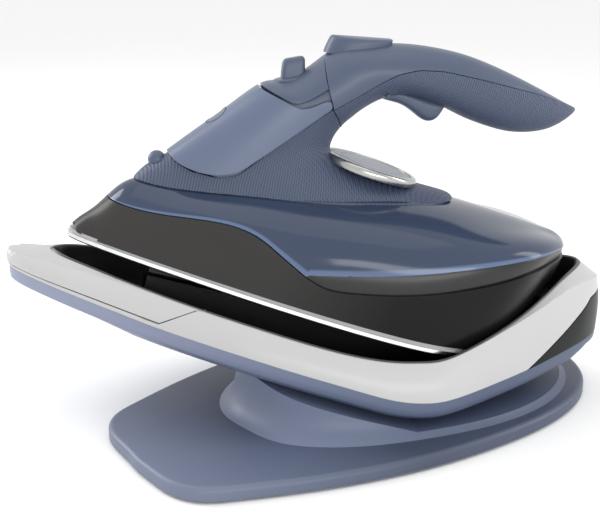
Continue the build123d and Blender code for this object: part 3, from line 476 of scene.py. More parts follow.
def body_surface():
    """The body's skin: rows run along the sole, columns from the foot over the top to the foot."""
    stations = np.linspace(BODY_FROM, BODY_TO, 420)
    knots = [row[0] for row in BODY]
    flat = spline(knots, [[v for pair in row[1:5] for v in pair] + [row[5]] for row in BODY], stations)
    grid = []
    for s, values in zip(stations, flat):
        half = values[:8].reshape(4, 2)
        outline = np.concatenate([half * (-1, 1), [[0, values[8]]], half[::-1]])
        top = chords(outline)[4]
        even = np.concatenate([np.linspace(0, top, HALF + 1), np.linspace(top, 1, HALF + 1)[1:]])
        ring = spline(chords(outline), outline, even)
        grid.append(np.column_stack([np.full(len(ring), s), ring]))
    return np.array(grid)


body_grid = body_surface()
body = Surface(iron_space(body_grid))
body_stations = body_grid[:, 0, 0]


def side_reach(lines, rise):
    """For each station, how far from the top the body meets side lines: 0 on top, 1 at the foot."""
    heights = np.full(len(body_stations), np.nan)
    for part in lines:
        part = np.asarray(part, float)
        inside = (body_stations >= part[0, 0]) & (body_stations <= part[-1, 0])
        heights[inside] = spline(part[:, 0], part[:, 1], body_stations[inside])
    reach = [np.interp(h + rise, side[:, 2], np.linspace(1, 0, HALF + 1))
             for h, side in zip(heights, body_grid[:, :HALF + 1])]
    return np.array(reach)


def reach_at(table, s):
    return np.interp(s, body_stations, table)


def body_share(s):
    """Place of the station s along the body, from 0 to 1."""
    return (s - BODY_FROM) / (BODY_TO - BODY_FROM)


def on_body(s, reach, inset=0.0):
    """Points of the body at stations s, by their signed reach from the top."""
    return body.point(body_share(s + 0 * reach), 0.5 + 0.5 * reach, inset)


INSIDE = middle(140, 30)
skirt_top = side_reach([S_LINE, GROOVE_LINE], -0.2)
tank_foot = side_reach([S_LINE, TANK_LINE], 0.2)
fore = slice(0, 60)                              # stations near the tip, where the tank's foot leaves the top
nose = float(np.interp(0.02, tank_foot[fore], body_stations[fore]))


def skirt():
    """The black skirt: one strip from the tail round the nose and back, foot to upper edge."""
    turn = np.concatenate([-np.linspace(1, 0, 260) ** 1.25, np.linspace(0, 1, 260)[1:] ** 1.25])
    amount = np.abs(turn)
    foot_s = BODY_FROM + 0.2 + (BODY_TO - BODY_FROM - 0.4) * amount
    edge_s = nose + (BODY_TO - 0.2 - nose) * amount
    foot_v = np.clip(turn / 0.012, -1, 1) * 0.985       # just above the foot, crossing over at the tip
    edge_v = np.sign(turn) * reach_at(skirt_top, edge_s)
    up = np.linspace(0, 1, 44)[:, None]
    s = foot_s + (edge_s - foot_s) * up
    reach = foot_v + (edge_v - foot_v) * up
    grid = on_body(s, reach)
    # the tone along the sole carries the painted reflection, greyest at the nose
    return moulding("skirt_moulding", [grid], 1.8, SKIRT_PAINTED_REFLECTION, away=INSIDE, tone=[body_share(s)])


def tank():
    """The tinted tank: everything above its lower edge, closed over the top."""
    turn = np.linspace(0, 1, 300)[None] * pi * 0.92
    s = nose - 0.4 + (BODY_TO - nose) * (1 - np.cos(turn)) / (1 - cos(pi * 0.92))
    s = np.minimum(s, BODY_TO - 0.02)
    across = crowded(150, 0.86)
    reach = across[:, None] * np.maximum(reach_at(tank_foot, s), 0.004)
    grid = on_body(s, reach)
    tone = np.repeat(1 - np.abs(across)[:, None], grid.shape[1], 1)
    # tone is 0 at the lower edges and 1 on top; the thin lighter strip at the edges is painted light
    return moulding("tank_moulding", [grid], 2.0, TANK_PAINTED_LIGHT, edge=0.7, away=INSIDE, tone=[tone])


def cradle():
    """The black band between the skirt's groove and the tank, set back from both."""
    s = np.linspace(117.5, BODY_TO - 0.5, 160)[None]
    up = np.linspace(0, 1, 26)[:, None]
    low = reach_at(side_reach([S_LINE, GROOVE_LINE], -1.5), s)
    high = reach_at(side_reach([S_LINE, TANK_LINE], 2.5), s)
    inset = 1.5 - 0.6 * np.sin(pi * up)[..., None]
    grids = [on_body(s, sign * (low + (high - low) * up), inset) for sign in (-1, 1)]
    return moulding("cradle_moulding", grids, 1.5, BLACK, away=INSIDE)


stand_for(skirt(), "iron", "skirt")
stand_for(tank(), "iron", "tank")
stand_for(cradle(), "iron", "cradle")


# ---------- neck, door, collar and handle
# Each row is a section across the iron's upper housing: s and h of its front or upper point, s and h
# of its rear or lower point, half width, roundness, how much fuller its rear half is, and its sag.
NECK_ROWS = [(30, 43.8, 189.5, 71.2, 26.0, 2.2, 0.26, 3.9), (33.5, 47.6, 176, 71.5, 24.2, 2.2, 0.22, 3.0),
             (37.6, 51.4, 155, 72.2, 22.0, 2.2, 0.15, 1.4), (42.2, 56.6, 134, 73.4, 20.3, 2.3, 0.08, 0.4),
             (52.4, 69.2, 123.0, 76.2, 19.4, 2.4, 0.02, 0), (63.8, 82.8, 120.6, 81.5, 19.2, 2.5, 0, 0),
             (77.6, 98.8, 122.4, 89, 19.3, 2.5, 0, 0), (86.8, 103.6, 126.5, 96, 20.0, 2.4, 0, 0),
             (96.8, 110.6, 131, 102, 20.2, 2.4, 0, 0)]
UPPER_ROWS = [(37.6, 53.2, 118, 46, 22.0, 2.3, 0.08, 0), (43.2, 60, 120, 58, 21.9, 2.3, 0.08, 0),
              (52, 70.6, 120.5, 68, 21.7, 2.3, 0.06, 0), (63, 83.8, 120.5, 79, 21.4, 2.35, 0.03, 0),
              (76.6, 99.9, 123, 90, 21.0, 2.4, 0, 0), (86, 104.7, 126.5, 96, 20.8, 2.4, 0, 0),
              (96, 111.7, 131, 102, 20.3, 2.4, 0, 0), (104, 121.5, 139, 109.5, 19.4, 2.4, 0, 0),
              (112, 129.2, 148, 114, 18.7, 2.4, 0, 0), (125, 134.4, 158, 115.6, 18.0, 2.4, 0, 0),
              (143, 139.4, 172, 114.2, 17.3, 2.4, 0, 0), (160, 142.0, 184, 112, 17.0, 2.4, 0, 0),
              (179, 142.6, 198, 110.8, 16.8, 2.4, 0, 0), (202, 140, 213, 111.5, 16.2, 2.4, 0, 0),
              (222, 136.4, 228, 116.5, 14.0, 2.3, 0, 0), (234, 133.9, 237, 123.6, 9.6, 2.2, 0, 0),
              (240.4, 132.8, 241.6, 129.0, 4.6, 2.1, 0, 0), (242.6, 132.3, 242.8, 131.4, 1.2, 2.0, 0, 0)]

FINE = 40                                        # steps from one row to the next


class Housing:
    """A surface swept through such rows, from a first ring of its own where there is one.

    A place on it is (u, turn): u counts rows, and turn is 0 degrees in front and 180 behind.
    """

    def __init__(self, rows, first_ring=None):
        rows = np.asarray(rows, float)
        self.steps = np.linspace(0, len(rows) - 1, FINE * (len(rows) - 1) + 1)
        self.rows = spline(np.arange(len(rows)), rows, self.steps)
        turn = np.linspace(0, 2 * pi, 361)
        rings = np.array([self.ring(row, turn) for row in rows])
        if first_ring is not None:
            rings = np.concatenate([first_ring(turn)[None], rings])
        self.lead = 0 if first_ring is None else 1
        self.last = len(rings) - 1
        dense = spline(np.arange(len(rings)), rings, np.linspace(0, self.last, FINE * self.last + 1))
        self.surface = Surface(iron_space(dense))

    @staticmethod
    def ring(row, turn):
        fs, fh, rs, rh, half, power, rear, sag = row
        c, s = np.cos(turn), np.sin(turn)
        y = half * np.sign(s) * np.abs(s) ** (2 / power) * (1 - rear * c)
        return np.stack([(fs + rs) / 2 + (fs - rs) / 2 * c, y,
                         (fh + rh) / 2 + (fh - rh) / 2 * c - sag * (y / half) ** 2], -1)

    def locate(self, points):
        """(u, turn) of points (s, h) in the side view."""
        front, rear = self.rows[:, 0:2], self.rows[:, 2:4]
        found = []
        for point in points:
            span, aim = rear - front, np.asarray(point) - front
            cross = span[:, 0] * aim[:, 1] - span[:, 1] * aim[:, 0]
            share = np.sum(aim * span, 1) / np.maximum(np.sum(span * span, 1), 1e-9)
            near = (cross[:-1] * cross[1:] <= 0) & (share[:-1] > -0.15) & (share[:-1] < 1.15)
            k = int(np.argmax(near)) if near.any() else int(np.argmin(np.abs(cross)))
            part = cross[k] / (cross[k] - cross[k + 1]) if cross[k] != cross[k + 1] else 0
            part = min(max(part, 0), 1)
            q = min(max(share[k] + (share[k + 1] - share[k]) * part, 0), 1)
            u = self.steps[k] + (self.steps[k + 1] - self.steps[k]) * part
            found.append((u + self.lead, np.degrees(np.arccos(1 - 2 * q))))
        return np.array(found)

    def shares(self, u, turn):
        u, turn = np.broadcast_arrays(np.asarray(u, float), np.asarray(turn, float))
        return u / self.last, (turn % 360) / 360

    def point(self, u, turn, inset=0.0):
        return self.surface.point(*self.shares(u, turn), inset)

    def normal(self, u, turn):
        return unit(self.surface.read(self.surface.normals, *self.shares(u, turn)))


def seam_ring(turn):
    """Where the shell meets the tank's top, a little above the tank."""
    c, s = np.cos(turn), np.sin(turn)
    along = 109.5 - 83 * c
    y = 27.4 * np.sign(s) * np.abs(s) ** (2 / 2.2) * (1 - 0.28 * c)
    height = []
    for place, side in zip(along, np.abs(y)):
        section = body_grid[np.argmin(np.abs(body_stations - place))][:HALF + 1]
        widest = int(np.argmin(section[:, 1]))
        height.append(np.interp(side, -section[widest:, 1][::-1], section[widest:, 2][::-1]))
    return np.stack([along, y, np.array(height) + 0.9], -1)


def spread(table, places, at):
    """Rows of a table given at places, read at other places."""
    return np.stack([np.interp(at, places, table[:, i]) for i in range(table.shape[1])], -1)


def dense_line(points, each=14):
    """A side line with straight runs divided, its corners softened a little."""
    points = np.asarray(points, float)
    places = np.linspace(0, 1, each * (len(points) - 1) + 1)
    line = np.column_stack([np.interp(places, chords(points), points[:, i]) for i in (0, 1)])
    for _ in range(6):
        line[1:-1] = (line[:-2] + 2 * line[1:-1] + line[2:]) / 4
    return line


neck = Housing(NECK_ROWS, seam_ring)
upper = Housing(UPPER_ROWS)

# Seams of the housing's pieces in the side view, as (s, h).
DOOR_LOW = [(39.3, 55.6), (46, 52.6), (56, 51.4), (67, 52.6), (76, 56.6), (112.6, 98.6)]
DOOR_TOP = [(76.4, 99.5), (93, 96.3), (98, 95.5), (103, 97.7), (109.2, 102.4), (112.0, 102.9),
            (113.0, 99.8)]
COLLAR_LOW = [(92.6, 96.9), (96, 97.4), (99.5, 99.9), (104, 103.8), (108.4, 108.4)]
COVER_START = [(104.6, 121.9), (105.0, 118), (106.7, 112.6), (108.8, 108.4), (114.4, 99.2)]
GRIP_START = [(114.4, 98.9), (119, 95), (122.9, 90.2)]
GRIP_LINE = [(114.4, 99), (120, 104.4), (127, 110.8), (135, 119), (142, 125), (151, 129.4), (164, 132.2),
             (186, 133.4), (216, 134.2), (234, 133.2), (241.5, 132.2)]
DOOR_HOLLOW = middle(95, 75)                     # a place well inside the door and the neck
KNUCKLE = middle(77.3, 98.9)


def door():
    """The filler door: one saddle from its lower edge to the collar's seam."""
    low_line, top_line = dense_line(DOOR_LOW), dense_line(DOOR_TOP)
    low, top = upper.locate(low_line), upper.locate(top_line)
    low[0, 1] = top[0, 1] = 0
    across = np.linspace(-1, 1, 181)
    start = spread(low, chords(low_line), np.abs(across))
    end = spread(top, chords(top_line), np.abs(across))
    up = np.linspace(0, 1, 90)[:, None, None]
    u, turn = np.moveaxis(start + (end - start) * up, -1, 0)
    turn = turn * np.sign(across)
    return moulding("filler_door_cover", [upper.point(u, turn)], 1.3, DOOR_BLUE, edge=0.5,
                    away=DOOR_HOLLOW, normals=[upper.normal(u, turn)])


def pad_ring():
    """A thin plain ring in the door, where a thumb presses to open it."""
    turn = np.linspace(0, 2 * pi, 120, endpoint=False)
    centre, above = upper.locate([(60.0, 79.0), (64.6, 84.4)])[:, 0]
    rings = [upper.point(centre + (above - centre) * r * np.cos(turn), 17 * r * np.sin(turn), -0.12)
             for r in (1.0, 0.97, 0.94)]
    return moulding("door_pad_ring", [np.array(rings)], 0.3, PAD_BLUE, loop=True, edge=0.05,
                    away=DOOR_HOLLOW)


def collar():
    """The collar round the lever, and on each side a strip set back below its lower edge."""
    low = upper.locate(dense_line(COLLAR_LOW))
    rear = upper.locate(dense_line(COVER_START))
    w = np.linspace(0, 1, 60)
    v = np.linspace(-1, 1, 121)[:, None]
    along = np.interp(w, chords(low), low[:, 0])
    turn_low = np.interp(w, chords(low), low[:, 1])
    start, corner = upper.locate([(77.9, 100.5)])[0, 0], low[-1]
    rear_u = np.interp(np.abs(v) * corner[1], rear[:, 1], rear[:, 0]) - 0.01
    share = (along - along[0]) / (along[-1] - along[0])
    u = start + (rear_u - start) * share
    shell_grid = upper.point(u, v * turn_low)
    floor_turn = np.linspace(52, 112, 24)[:, None]
    floor_u = np.linspace(upper.locate([(90, 92)])[0, 0], upper.locate([(110, 110)])[0, 0], 24)
    floors = [upper.point(floor_u + 0 * floor_turn, sign * floor_turn, 2.3) for sign in (1, -1)]
    return moulding("collar_moulding", [shell_grid] + floors, 2.2, COVER_BLUE, edge=0.55,
                    away=middle(100, 100))


def handle_cover():
    """The upper half of the handle, from the collar to the pointed end."""
    line = upper.locate(dense_line(GRIP_LINE))
    rear = upper.locate(dense_line(COVER_START))
    rear[0, 1] = 0
    v = crowded(111, 0.8)[:, None]
    w = np.linspace(0, 1, 240) ** 0.94
    start = np.interp(np.abs(v), rear[:, 1] / rear[-1, 1], rear[:, 0])
    u = start + (upper.last - 0.02 - start) * w
    turn = v * (np.interp(u, line[:, 0], line[:, 1]) - 0.35)
    return moulding("handle_cover_moulding", [upper.point(u, turn)], 1.8, COVER_BLUE, edge=0.45,
                    away=middle(120, 90))


def handle_grip():
    """The ribbed underside of the handle, from the neck to the pointed end."""
    line = upper.locate(dense_line(GRIP_LINE))
    begin = upper.locate(dense_line(GRIP_START))
    v = np.linspace(-1, 1, 111)[:, None]
    w = np.linspace(0, 1, 240)
    start = np.interp(180 - np.abs(v) * (180 - begin[0, 1]), begin[:, 1], begin[:, 0])
    u = start + (upper.last - 0.02 - start) * w
    turn = 180 + v * (180 - np.interp(u, line[:, 0], line[:, 1]) - 0.35)
    return moulding("handle_grip_moulding", [upper.point(u, turn)], 1.8, RIBBED_BLUE, edge=0.45,
                    away=middle(180, 128))


def shell():
    """The ribbed shell on the tank, up to the door and the handle, with the neck under the door."""
    turn = np.linspace(0, 360, 240, endpoint=False)
    low = neck.locate(dense_line(DOOR_LOW + [(113.4, 99.4)])[3:])
    rear = neck.locate(dense_line(GRIP_START))
    border = np.concatenate([[[neck.locate([(42.6, 56.2)])[0, 0], 0]], low, rear])
    border[:, 1] = np.maximum.accumulate(border[:, 1])
    border[-1, 1] = 180
    top = np.interp(np.minimum(turn, 360 - turn), border[:, 1], border[:, 0]) - 0.03
    up = np.linspace(0, 1, 70)[:, None]
    even = np.mean([np.roll(top, k) for k in range(-14, 15)], 0)
    u = even * up + (top - even) * up ** 9
    grid, normals = neck.point(u, turn), neck.normal(u, turn)
    hidden_turn = np.linspace(-128, 128, 120)
    under = upper.point(np.linspace(0.1, 6.4, 70)[:, None] + 0 * hidden_turn, hidden_turn, 3.3)
    piece = moulding("shell_moulding", [grid], 1.9, RIBBED_BLUE, loop=True, edge=0.5,
                     away=middle(110, 60), normals=[normals])
    inner = moulding("neck_under_door", [under], 1.2, DOOR_BLUE, away=DOOR_HOLLOW)
    return piece, inner


shell_piece, neck_piece = shell()
stand_for(shell_piece, "iron", "shell")
stand_for(neck_piece, "iron")
stand_for(collar(), "iron", "collar")
stand_for(handle_cover(), "iron", "handle_cover")
stand_for(handle_grip(), "iron", "handle_grip")
stand_for(door(), "door", "filler_door")
ring_piece = pad_ring()
stand_for(ring_piece, "door")
pin_line = [(0.1, -5), (0.6, -5), (0.6, 5), (0.1, 5)]
stand_for(lathe("hinge_pin_rod", pin_line, KNUCKLE, (0, 1, 0.001), STEEL), "iron", "hinge_pin")


# ---------- lever, button, trigger, nozzle
def spray_button():
    """A wedge with a round front: plan outlines stacked from the cover's surface to its top."""
    turn = np.linspace(0, 2 * pi, 120, endpoint=False)
    c, s = np.cos(turn), np.sin(turn)
    half_long, half_wide = 16.2, 10.2
    square = np.where(c > 0, 0.92, 0.66)
    plan = np.stack([-half_long * np.sign(c) * np.abs(c) ** square,
                     half_wide * np.sign(s) * np.abs(s) ** square], -1)
    plan[:, 1] *= 1 - 0.16 * np.clip(plan[:, 0] / half_long, 0, 1)

    def ring(draw, lift, lean):
        along, side = np.moveaxis(plan * (1 - draw), -1, 0)
        base = 125.2 + (along + 14) * 0.3 - 0.012 * side ** 2
        top = 133.6 + (along + half_long) * 0.205 - 0.01 * side ** 2
        return iron_space(np.stack([120.8 + along + lean, side, base + (top - base) * lift], -1))

    rings = [ring(0.0, 0.0, -0.6), ring(0.0, 0.3, -0.4), ring(0.015, 0.7, 0.0), ring(0.03, 0.9, 0.2),
             ring(0.06, 0.97, 0.2), ring(0.11, 1.0, 0.2)]
    rings += [ring(draw, 1.0, 0.2) for draw in (0.25, 0.45, 0.65, 0.85, 0.98)]
    return solid_loft("spray_button_cap", rings, COVER_BLUE, 34)


LEVER_LEAN = radians(25)
LEVER_AXIS = unit(middle(-sin(LEVER_LEAN), cos(LEVER_LEAN)) - SOLE_TIP)
LEVER_BASE = middle(91, 106.6)
# The lever's tab from its foot up: height, half width, half depth, shift forwards.
LEVER_TAB = [(0.4, 4.4, 6.4, 2), (3, 4.2, 6.2, 2.4), (6, 3.9, 6.0, 3.0), (8.6, 3.6, 5.8, 3.6),
             (9.8, 3.1, 5.3, 3.8), (10.4, 2.4, 4.5, 3.9), (10.6, 1.2, 3.2, 3.9)]


def steam_lever():
    """A turning disc with an upright thumb tab."""
    line = [(0.5, -2), (8.6, -2), (8.6, 0.4), (8.2, 0.9), (7.6, 1.1), (6.5, 1.15), (0.5, 1.3)]
    disc = lathe("steam_lever_disc", line, LEVER_BASE, LEVER_AXIS, COVER_BLUE)
    side = np.array([0.0, 1.0, 0.0])
    fore = np.cross(side, LEVER_AXIS)
    rings = []
    for height, wide, deep, shift in LEVER_TAB:
        outline = superellipse(wide, deep, 4.5)
        rings.append(LEVER_BASE + LEVER_AXIS * height + np.outer(outline[:, 0], side)
                     + np.outer(outline[:, 1] + shift, fore))
    return disc, solid_loft("steam_lever_tab", rings, COVER_BLUE, 30)


def spray_nozzle():
    """A ball with a small turned mouth in front."""
    ball = [(4.6 * sin(a), -4.6 * cos(a)) for a in np.linspace(0.05, pi - 0.42, 30)]
    mouth = [(1.5, 4.35), (1.2, 3.9), (0.6, 3.7), (0.2, 3.7)]
    return lathe("spray_nozzle_ball", ball + mouth, middle(36, 49.6), middle(-0.93, 0.36) - SOLE_TIP,
                 COVER_BLUE)


# The trigger's sections from front to rear: s, half width, lower and upper h.
TRIGGER = [(137.4, 5.8, 110.5, 115.5), (141, 6.6, 109.8, 116.5), (148, 6.8, 109.8, 117),
           (155, 6.8, 108.4, 117), (161, 6.7, 106.0, 117), (166, 6.5, 104.9, 117),
           (169.5, 6.2, 106.3, 117), (171.6, 5.4, 110, 117), (172.4, 4.6, 113, 116.5)]


def steam_trigger():
    """A rounded blade below the handle."""
    rows = np.asarray(TRIGGER, float)
    rings = []
    for s, half, low, high in spline(chords(rows), rows, np.linspace(0, 1, 60)):
        side, up = superellipse(half, (high - low) / 2, 2.8).T
        rings.append(iron_space(np.column_stack([np.full(len(up), s), side, up + (low + high) / 2])))
    return solid_loft("steam_trigger_blade", rings, COVER_BLUE)


stand_for(spray_button(), "button", "spray_button")
lever_disc, lever_tab = steam_lever()
stand_for(lever_disc, "lever", "steam_lever")
stand_for(lever_tab, "lever")
stand_for(spray_nozzle(), "iron", "spray_nozzle")
stand_for(steam_trigger(), "trigger", "steam_trigger")

# ---------- dial
DIAL_LEAN = radians(2.5)
DIAL_CENTRE = middle(144.5, 71)
DIAL_AXIS = middle(sin(DIAL_LEAN), cos(DIAL_LEAN)) - SOLE_TIP
# Turned outlines as (radius, height); the face has one shallow groove.
DIAL_RIM = [(22.6, 0.2), (24.4, 0.0), (25.5, 0.5), (25.95, 1.6), (25.95, 3.2), (25.4, 4.3), (24.6, 4.8),
            (23.6, 5.0), (22.9, 4.9), (22.5, 4.6), (22.4, 4.0), (22.4, 1.0)]
DIAL_FACE = [(0.3, 0.8), (22.3, 0.8), (22.3, 4.3), (21.9, 4.55), (17.2, 4.75), (17.0, 4.55), (16.6, 4.55),
             (16.4, 4.75), (8, 4.9), (0.3, 4.95)]
stand_for(lathe("dial_rim", DIAL_RIM, DIAL_CENTRE, DIAL_AXIS, DIAL_METAL), "dial", "dial_ring")
stand_for(lathe("dial_face", DIAL_FACE, DIAL_CENTRE, DIAL_AXIS, DIAL_BLUE), "dial", "dial_disc")

# ---------- the tray
# The lower edge of the white band, bow to stern, and the edge of the well inside it: x, half width, z.
RIM = [(-212.9, 0, 82.6), (-211.5, 5, 82.2), (-207, 10.5, 81.0), (-199, 16.5, 78.7), (-185, 25, 74.7),
       (-165, 35.5, 69.0), (-140, 47.5, 61.8), (-116, 56.2, 54.9), (-92, 63.6, 48.1), (-68, 69.7, 41.2),
       (-45, 74.2, 34.6), (-24, 76.6, 28.4), (-8, 76, 25.7), (8, 72.4, 25.7), (34, 60.3, 28.0),
       (57, 47.5, 30.0), (80, 32, 31.8), (97, 18.5, 33.0), (105, 9.5, 33.6), (107.6, 4, 33.8),
       (107.9, 0, 33.8)]
WELL = [(-191, 0, 89.9), (-189.5, 4.5, 89.7), (-186, 9.5, 88.8), (-180, 14.5, 87.2), (-172, 19, 84.9),
        (-160, 26, 81.5), (-138, 37.8, 75.3), (-116, 47, 68.9), (-92, 55, 62.0), (-68, 61.5, 55.1),
        (-45, 66, 49.0), (-24, 67.6, 44.8), (-8, 67, 43.4), (8, 64.5, 44.4), (34, 55, 52.8),
        (57, 42, 61.6), (76, 27, 69.0), (88, 15.5, 72.0), (94, 8, 73.0), (96, 3.2, 73.2), (96.2, 0, 73.2)]
# Crease between the band's face and its flat top, which is wide only at the bow and the stern.
CREASE = [(-212.4, 0, 92.0), (-211.0, 4.4, 91.6), (-206.6, 9.4, 90.0), (-198.0, 14.2, 87.6),
          (-181.5, 20.0, 84.6), (-163.0, 27.4, 81.2)]
CREASE += [(x - 0.6, w + 1.1, z + 0.1) for x, w, z in WELL[6:14]]
CREASE += [(34.5, 56.4, 52.9), (59, 44.4, 60.6), (80.5, 30.2, 66.0), (96, 18.2, 66.6), (103.6, 9.6, 65.6),
           (106.1, 4.0, 65.2), (106.4, 0, 65.1)]
STERN = len(RIM) - 1                             # places round the tray count its rows, from 0 at the bow
ROUND = 2 * STERN
loop_places = np.linspace(0, ROUND, 520, endpoint=False)


def tray_line(rows, wrap=4):
    """A closed smooth loop round the tray from bow to stern on +y and back on -y."""
    rows = np.asarray(rows, float)
    closed = np.concatenate([rows, rows[-2::-1] * (1, -1, 1)])
    values = np.concatenate([closed[-1 - wrap:-1], closed, closed[1:1 + wrap]])
    return spline(np.arange(-wrap, ROUND + 1 + wrap), values, loop_places)


def from_bow(places):
    """Places on either side as places on +y."""
    return np.minimum(places, ROUND - places)


rim_loop, well_loop, crease_loop = (tray_line(rows) for rows in (RIM, WELL, CREASE))
rim_x, rim_z = [row[0] for row in RIM], [row[2] for row in RIM]
station_x = np.interp(from_bow(loop_places), np.arange(STERN + 1), rim_x)


CREASE_Q, BAND_SWELL = 0.88, 1.6                 # q of the crease, millimetres that the band bulges
COVER_REAR_LOW, COVER_REAR_TOP = -136.0, -113.0  # x where the cover's seam leaves the rim, meets the well
WINDOW_LOW = 53.0                                # x where the stern window's upper edge leaves the rim
SEAM_Q, SEAM_GAP, WINDOW_GAP = 0.13, 0.012, 0.006       # q of the cover's lower seam, q left open in seams


def band_point(places, q):
    """Point of the white band: q runs from 0 at the rim over the crease to 1 at the well."""
    def pick(line):
        return np.stack([np.interp(places % ROUND, np.append(loop_places, ROUND),
                                   np.append(line[:, i], line[0, i])) for i in range(3)], -1)

    rim, crease, well = pick(rim_loop), pick(crease_loop), pick(well_loop)
    face = np.clip(q / CREASE_Q, 0, 1)[..., None]
    lip = np.clip((q - CREASE_Q) / (1 - CREASE_Q), 0, 1)[..., None]
    out = unit((rim - crease) * (1, 1, 0) + 1e-6)
    swell = BAND_SWELL * np.sin(pi * face)
    flat = rim + (crease - rim) * face + (well - crease) * lip
    return flat + out * swell * 0.75 + np.array([0, 0, 0.5]) * swell


def station_of(x):
    """Loop place on +y of a station given by its x on the rim."""
    return float(np.interp(x, rim_x, np.arange(STERN + 1)))


def cover_low(places):
    """q of the front cover's lower edge, and how far up the band its rear seam has run."""
    seam = [0, station_of(COVER_REAR_LOW), station_of(COVER_REAR_TOP)]
    return np.interp(from_bow(places), seam, [SEAM_Q, SEAM_Q, 1.0])


def window_high(places):
    """q of the stern window's upper edge, and 0 ahead of it."""
    edge = [station_of(WINDOW_LOW), station_of(80), station_of(97), STERN]
    return np.interp(from_bow(places), edge, [0, 0.3, 0.6, 0.76])


TRAY_INSIDE = np.array([-50.0, 0, 40.0])


def bezel():
    """The white band: full height amidships, a thin strip under the front cover, cut at the stern."""
    low, high = window_high(loop_places), cover_low(loop_places)
    low = low + WINDOW_GAP * (low > 0)
    high = high - SEAM_GAP * (high < 1)
    rise = np.linspace(0, 1, 46)[:, None]
    q = low + (high - low) * rise
    grid = band_point(loop_places + 0 * q, q)
    return moulding("bezel_moulding", [grid], 1.6, WHITE, loop=True, edge=0.35, away=TRAY_INSIDE, sharp=26)


def front_cover():
    """The cover over the bow, with a shallow V pressed into its top."""
    end = station_of(COVER_REAR_TOP)
    places = np.linspace(-end, end, 420)
    low = cover_low(places % ROUND)
    rise = np.linspace(0, 1, 110)[:, None]
    q = low + SEAM_GAP + (0.999 - low - SEAM_GAP) * rise
    grid = band_point(places + 0 * q, q)
    x, y = grid[..., 0], np.abs(grid[..., 1])
    # the V: a facet between two lines that meet at its apex, one to the bow's side, one to its middle
    apex_x, apex_y = -181, 19.0
    outer = (apex_y + (x - apex_x) * 0.385 - y) * 0.93
    inner = (y - apex_y - (x - apex_x) * 1.07) * 0.68
    depth = np.clip(np.minimum(inner, outer) / 0.8, 0, 1)
    grid[..., 2] -= depth * np.clip((1 - rise) * 5, 0, 1) * np.clip(rise * 6, 0, 1)
    return moulding("front_cover_moulding", [grid], 1.5, WHITE, edge=0.35, away=TRAY_INSIDE, sharp=26)


def stern_window():
    """The black window low on the stern."""
    start = station_of(WINDOW_LOW)
    places = np.linspace(start + 0.03, ROUND - start - 0.03, 220)
    high = np.maximum(window_high(places) - WINDOW_GAP, 0.002)
    rise = np.linspace(0, 1, 30)[:, None]
    grid = band_point(places + 0 * rise, high * rise)
    return moulding("stern_window_panel", [grid], 1.6, WINDOW, edge=0.3, away=TRAY_INSIDE)


def inward(loop, distance, drop):
    """The loop drawn in towards the tray's middle plane, never past it, and lowered."""
    width, along = np.abs(loop[:, 1]), loop[:, 0] - TRAY_INSIDE[0]
    shrunk = np.maximum(width - distance, 0.35 * width)
    ends = np.clip(np.abs(along) - 100, 0, 60) / 60
    x = loop[:, 0] - np.sign(along) * distance * ends
    return np.column_stack([x, np.sign(loop[:, 1]) * shrunk, loop[:, 2] - drop])


def hull():
    """The blue hull: an upright face below the band, tucked in underneath."""
    bow = np.clip((station_x + 212) / 60, 0, 1)
    bow = bow * bow * (3 - 2 * bow)
    stern = np.clip((108 - station_x) / 30, 0.35, 1)
    face, face_share = 8.3, np.minimum(stern + 0.2, 1)
    loops = [inward(rim_loop, 1.5, -0.6), inward(rim_loop, 0.25, -0.2)]
    for distance, drop in ((0.15, 0.5), (0.2, 4), (0.4, 6.6), (0.9, 7.4), (2.0, face)):
        loops.append(inward(rim_loop, distance, drop * face_share))
    for distance, drop in ((7, 11.2), (12.5, 13.6), (15, 14.1)):
        lowered = face * face_share + (drop - face) * bow * stern
        loops.append(inward(rim_loop, distance * (0.35 + 0.65 * bow), lowered))
    return dish("tray_hull_moulding", loops, (0.7, 0.4, 0.02), 2.0, HULL_BLUE_PAINTED_LIGHT, TRAY_INSIDE + (0, 0, 60))


def dish(name, loops, shares, thickness, material, away):
    """A moulding through closed loops, the last one drawn in to the middle plane as a flat floor."""
    loops = loops + [loops[-1] * (1, share, 1) for share in shares]
    return moulding(name, [np.array(loops)], thickness, material, away, loop=True, edge=0.2, sharp=34)


def well_liner():
    """The black well, with a rounded grey lip standing just above the band."""
    loops = [inward(well_loop, -0.3, 0.6), inward(well_loop, 0.5, -0.35), inward(well_loop, 1.3, -0.45),
             inward(well_loop, 2.0, 0.1)]
    lip = moulding("well_lip", [np.array(loops)], 0.8, LIP_GREY, loop=True, edge=0.15, away=TRAY_INSIDE)
    floor = np.minimum(well_loop[:, 2], np.interp(well_loop[:, 0], rim_x, rim_z) + 5)
    loops = [inward(well_loop, 1.9, 0.3), inward(well_loop, 2.6, 2.0)]
    for distance, share in ((3.6, 0.4), (5.0, 0.8), (8.0, 1.0)):
        loop = inward(well_loop, distance, 0)
        loop[:, 2] += (floor - 10 - loop[:, 2]) * share
        loops.append(loop)
    bowl = dish("well_bowl", loops, (0.6, 0.3, 0.02), 0.8, BLACK, TRAY_INSIDE - (0, 0, 340))
    return lip, bowl


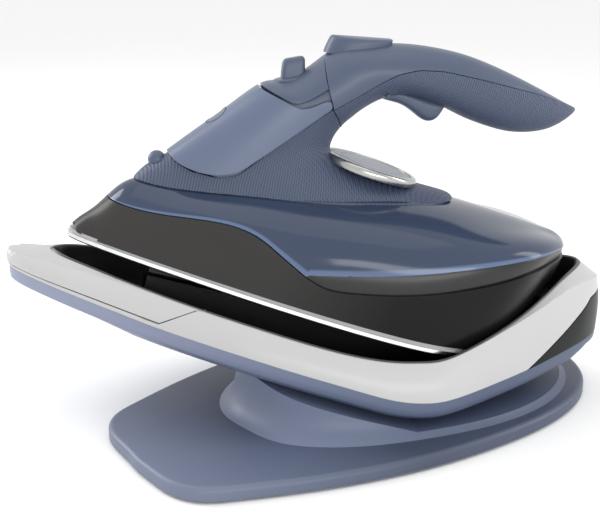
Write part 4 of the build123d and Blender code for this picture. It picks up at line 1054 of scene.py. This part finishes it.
stand_for(bezel(), "tray", "bezel")
stand_for(front_cover(), "tray", "front_cover")
stand_for(stern_window(), "tray", "stern_window")
stand_for(hull(), "tray", "tray_hull")
lip_piece, bowl_piece = well_liner()
stand_for(bowl_piece, "tray", "well_liner")
stand_for(lip_piece, "tray")
turntable_line = [(9.3, 12.05), (35.4, 12.05), (36.0, 12.6), (36.0, 16.5), (9.3, 16.5)]
stand_for(lathe("tray_turntable", turntable_line, (0, 0, 0), (0, 0, 1), DOCK_BLUE), "tray")


# ---------- floor, light and camera
def studio():
    """A pale plain floor, soft lights, and a camera beside the iron that looks a little down on it."""
    bpy.ops.mesh.primitive_plane_add(size=30)
    floor = bpy.context.object
    floor.name = "studio_floor"
    paper = Shader("studio_paper", 0.9)
    paper.colour(paper.ramp(paper.noise(3), tinted((0.9, 0.9, 0.9), 0.004)))
    floor.data.materials.append(paper.material)

    world = bpy.data.worlds.new("studio_world")
    world.use_nodes = True
    backdrop = world.node_tree.nodes["Background"]
    backdrop.inputs["Color"].default_value = (1.0, 1.0, 1.0, 1)
    backdrop.inputs["Strength"].default_value = 1.02
    bpy.context.scene.world = world

    def place(name, data, location, aim):
        """Puts a lamp or a camera in the scene, facing a point."""
        holder = bpy.data.objects.new(name, data)
        holder.location = location
        holder.rotation_euler = (Vector(aim) - Vector(location)).to_track_quat("-Z", "Y").to_euler()
        bpy.context.scene.collection.objects.link(holder)
        return holder

    for name, location, size, power in (("overhead", (-0.1, -0.1, 1.3), (1.2, 1.0), 2.5),
                                        ("left_back", (-1.2, 0.6, 0.7), (0.5, 1.0), 9),
                                        ("front_low", (0.2, -1.4, 0.35), (1.4, 0.25), 6),
                                        ("right_edge", (1.2, -0.1, 0.6), (0.35, 0.9), 4)):
        lamp = bpy.data.lights.new(name, "AREA")
        lamp.shape, lamp.size, lamp.size_y, lamp.energy = "RECTANGLE", size[0], size[1], power
        place(name, lamp, location, (-0.05, 0, 0.08))

    lens = bpy.data.cameras.new("camera")
    lens.lens, lens.sensor_width = 60, 36
    bpy.context.scene.camera = place("camera", lens, (-0.1233, -0.5126, 0.2329), (-0.0604, 0, 0.075))
    bpy.context.scene.view_settings.view_transform = "Standard"


studio()
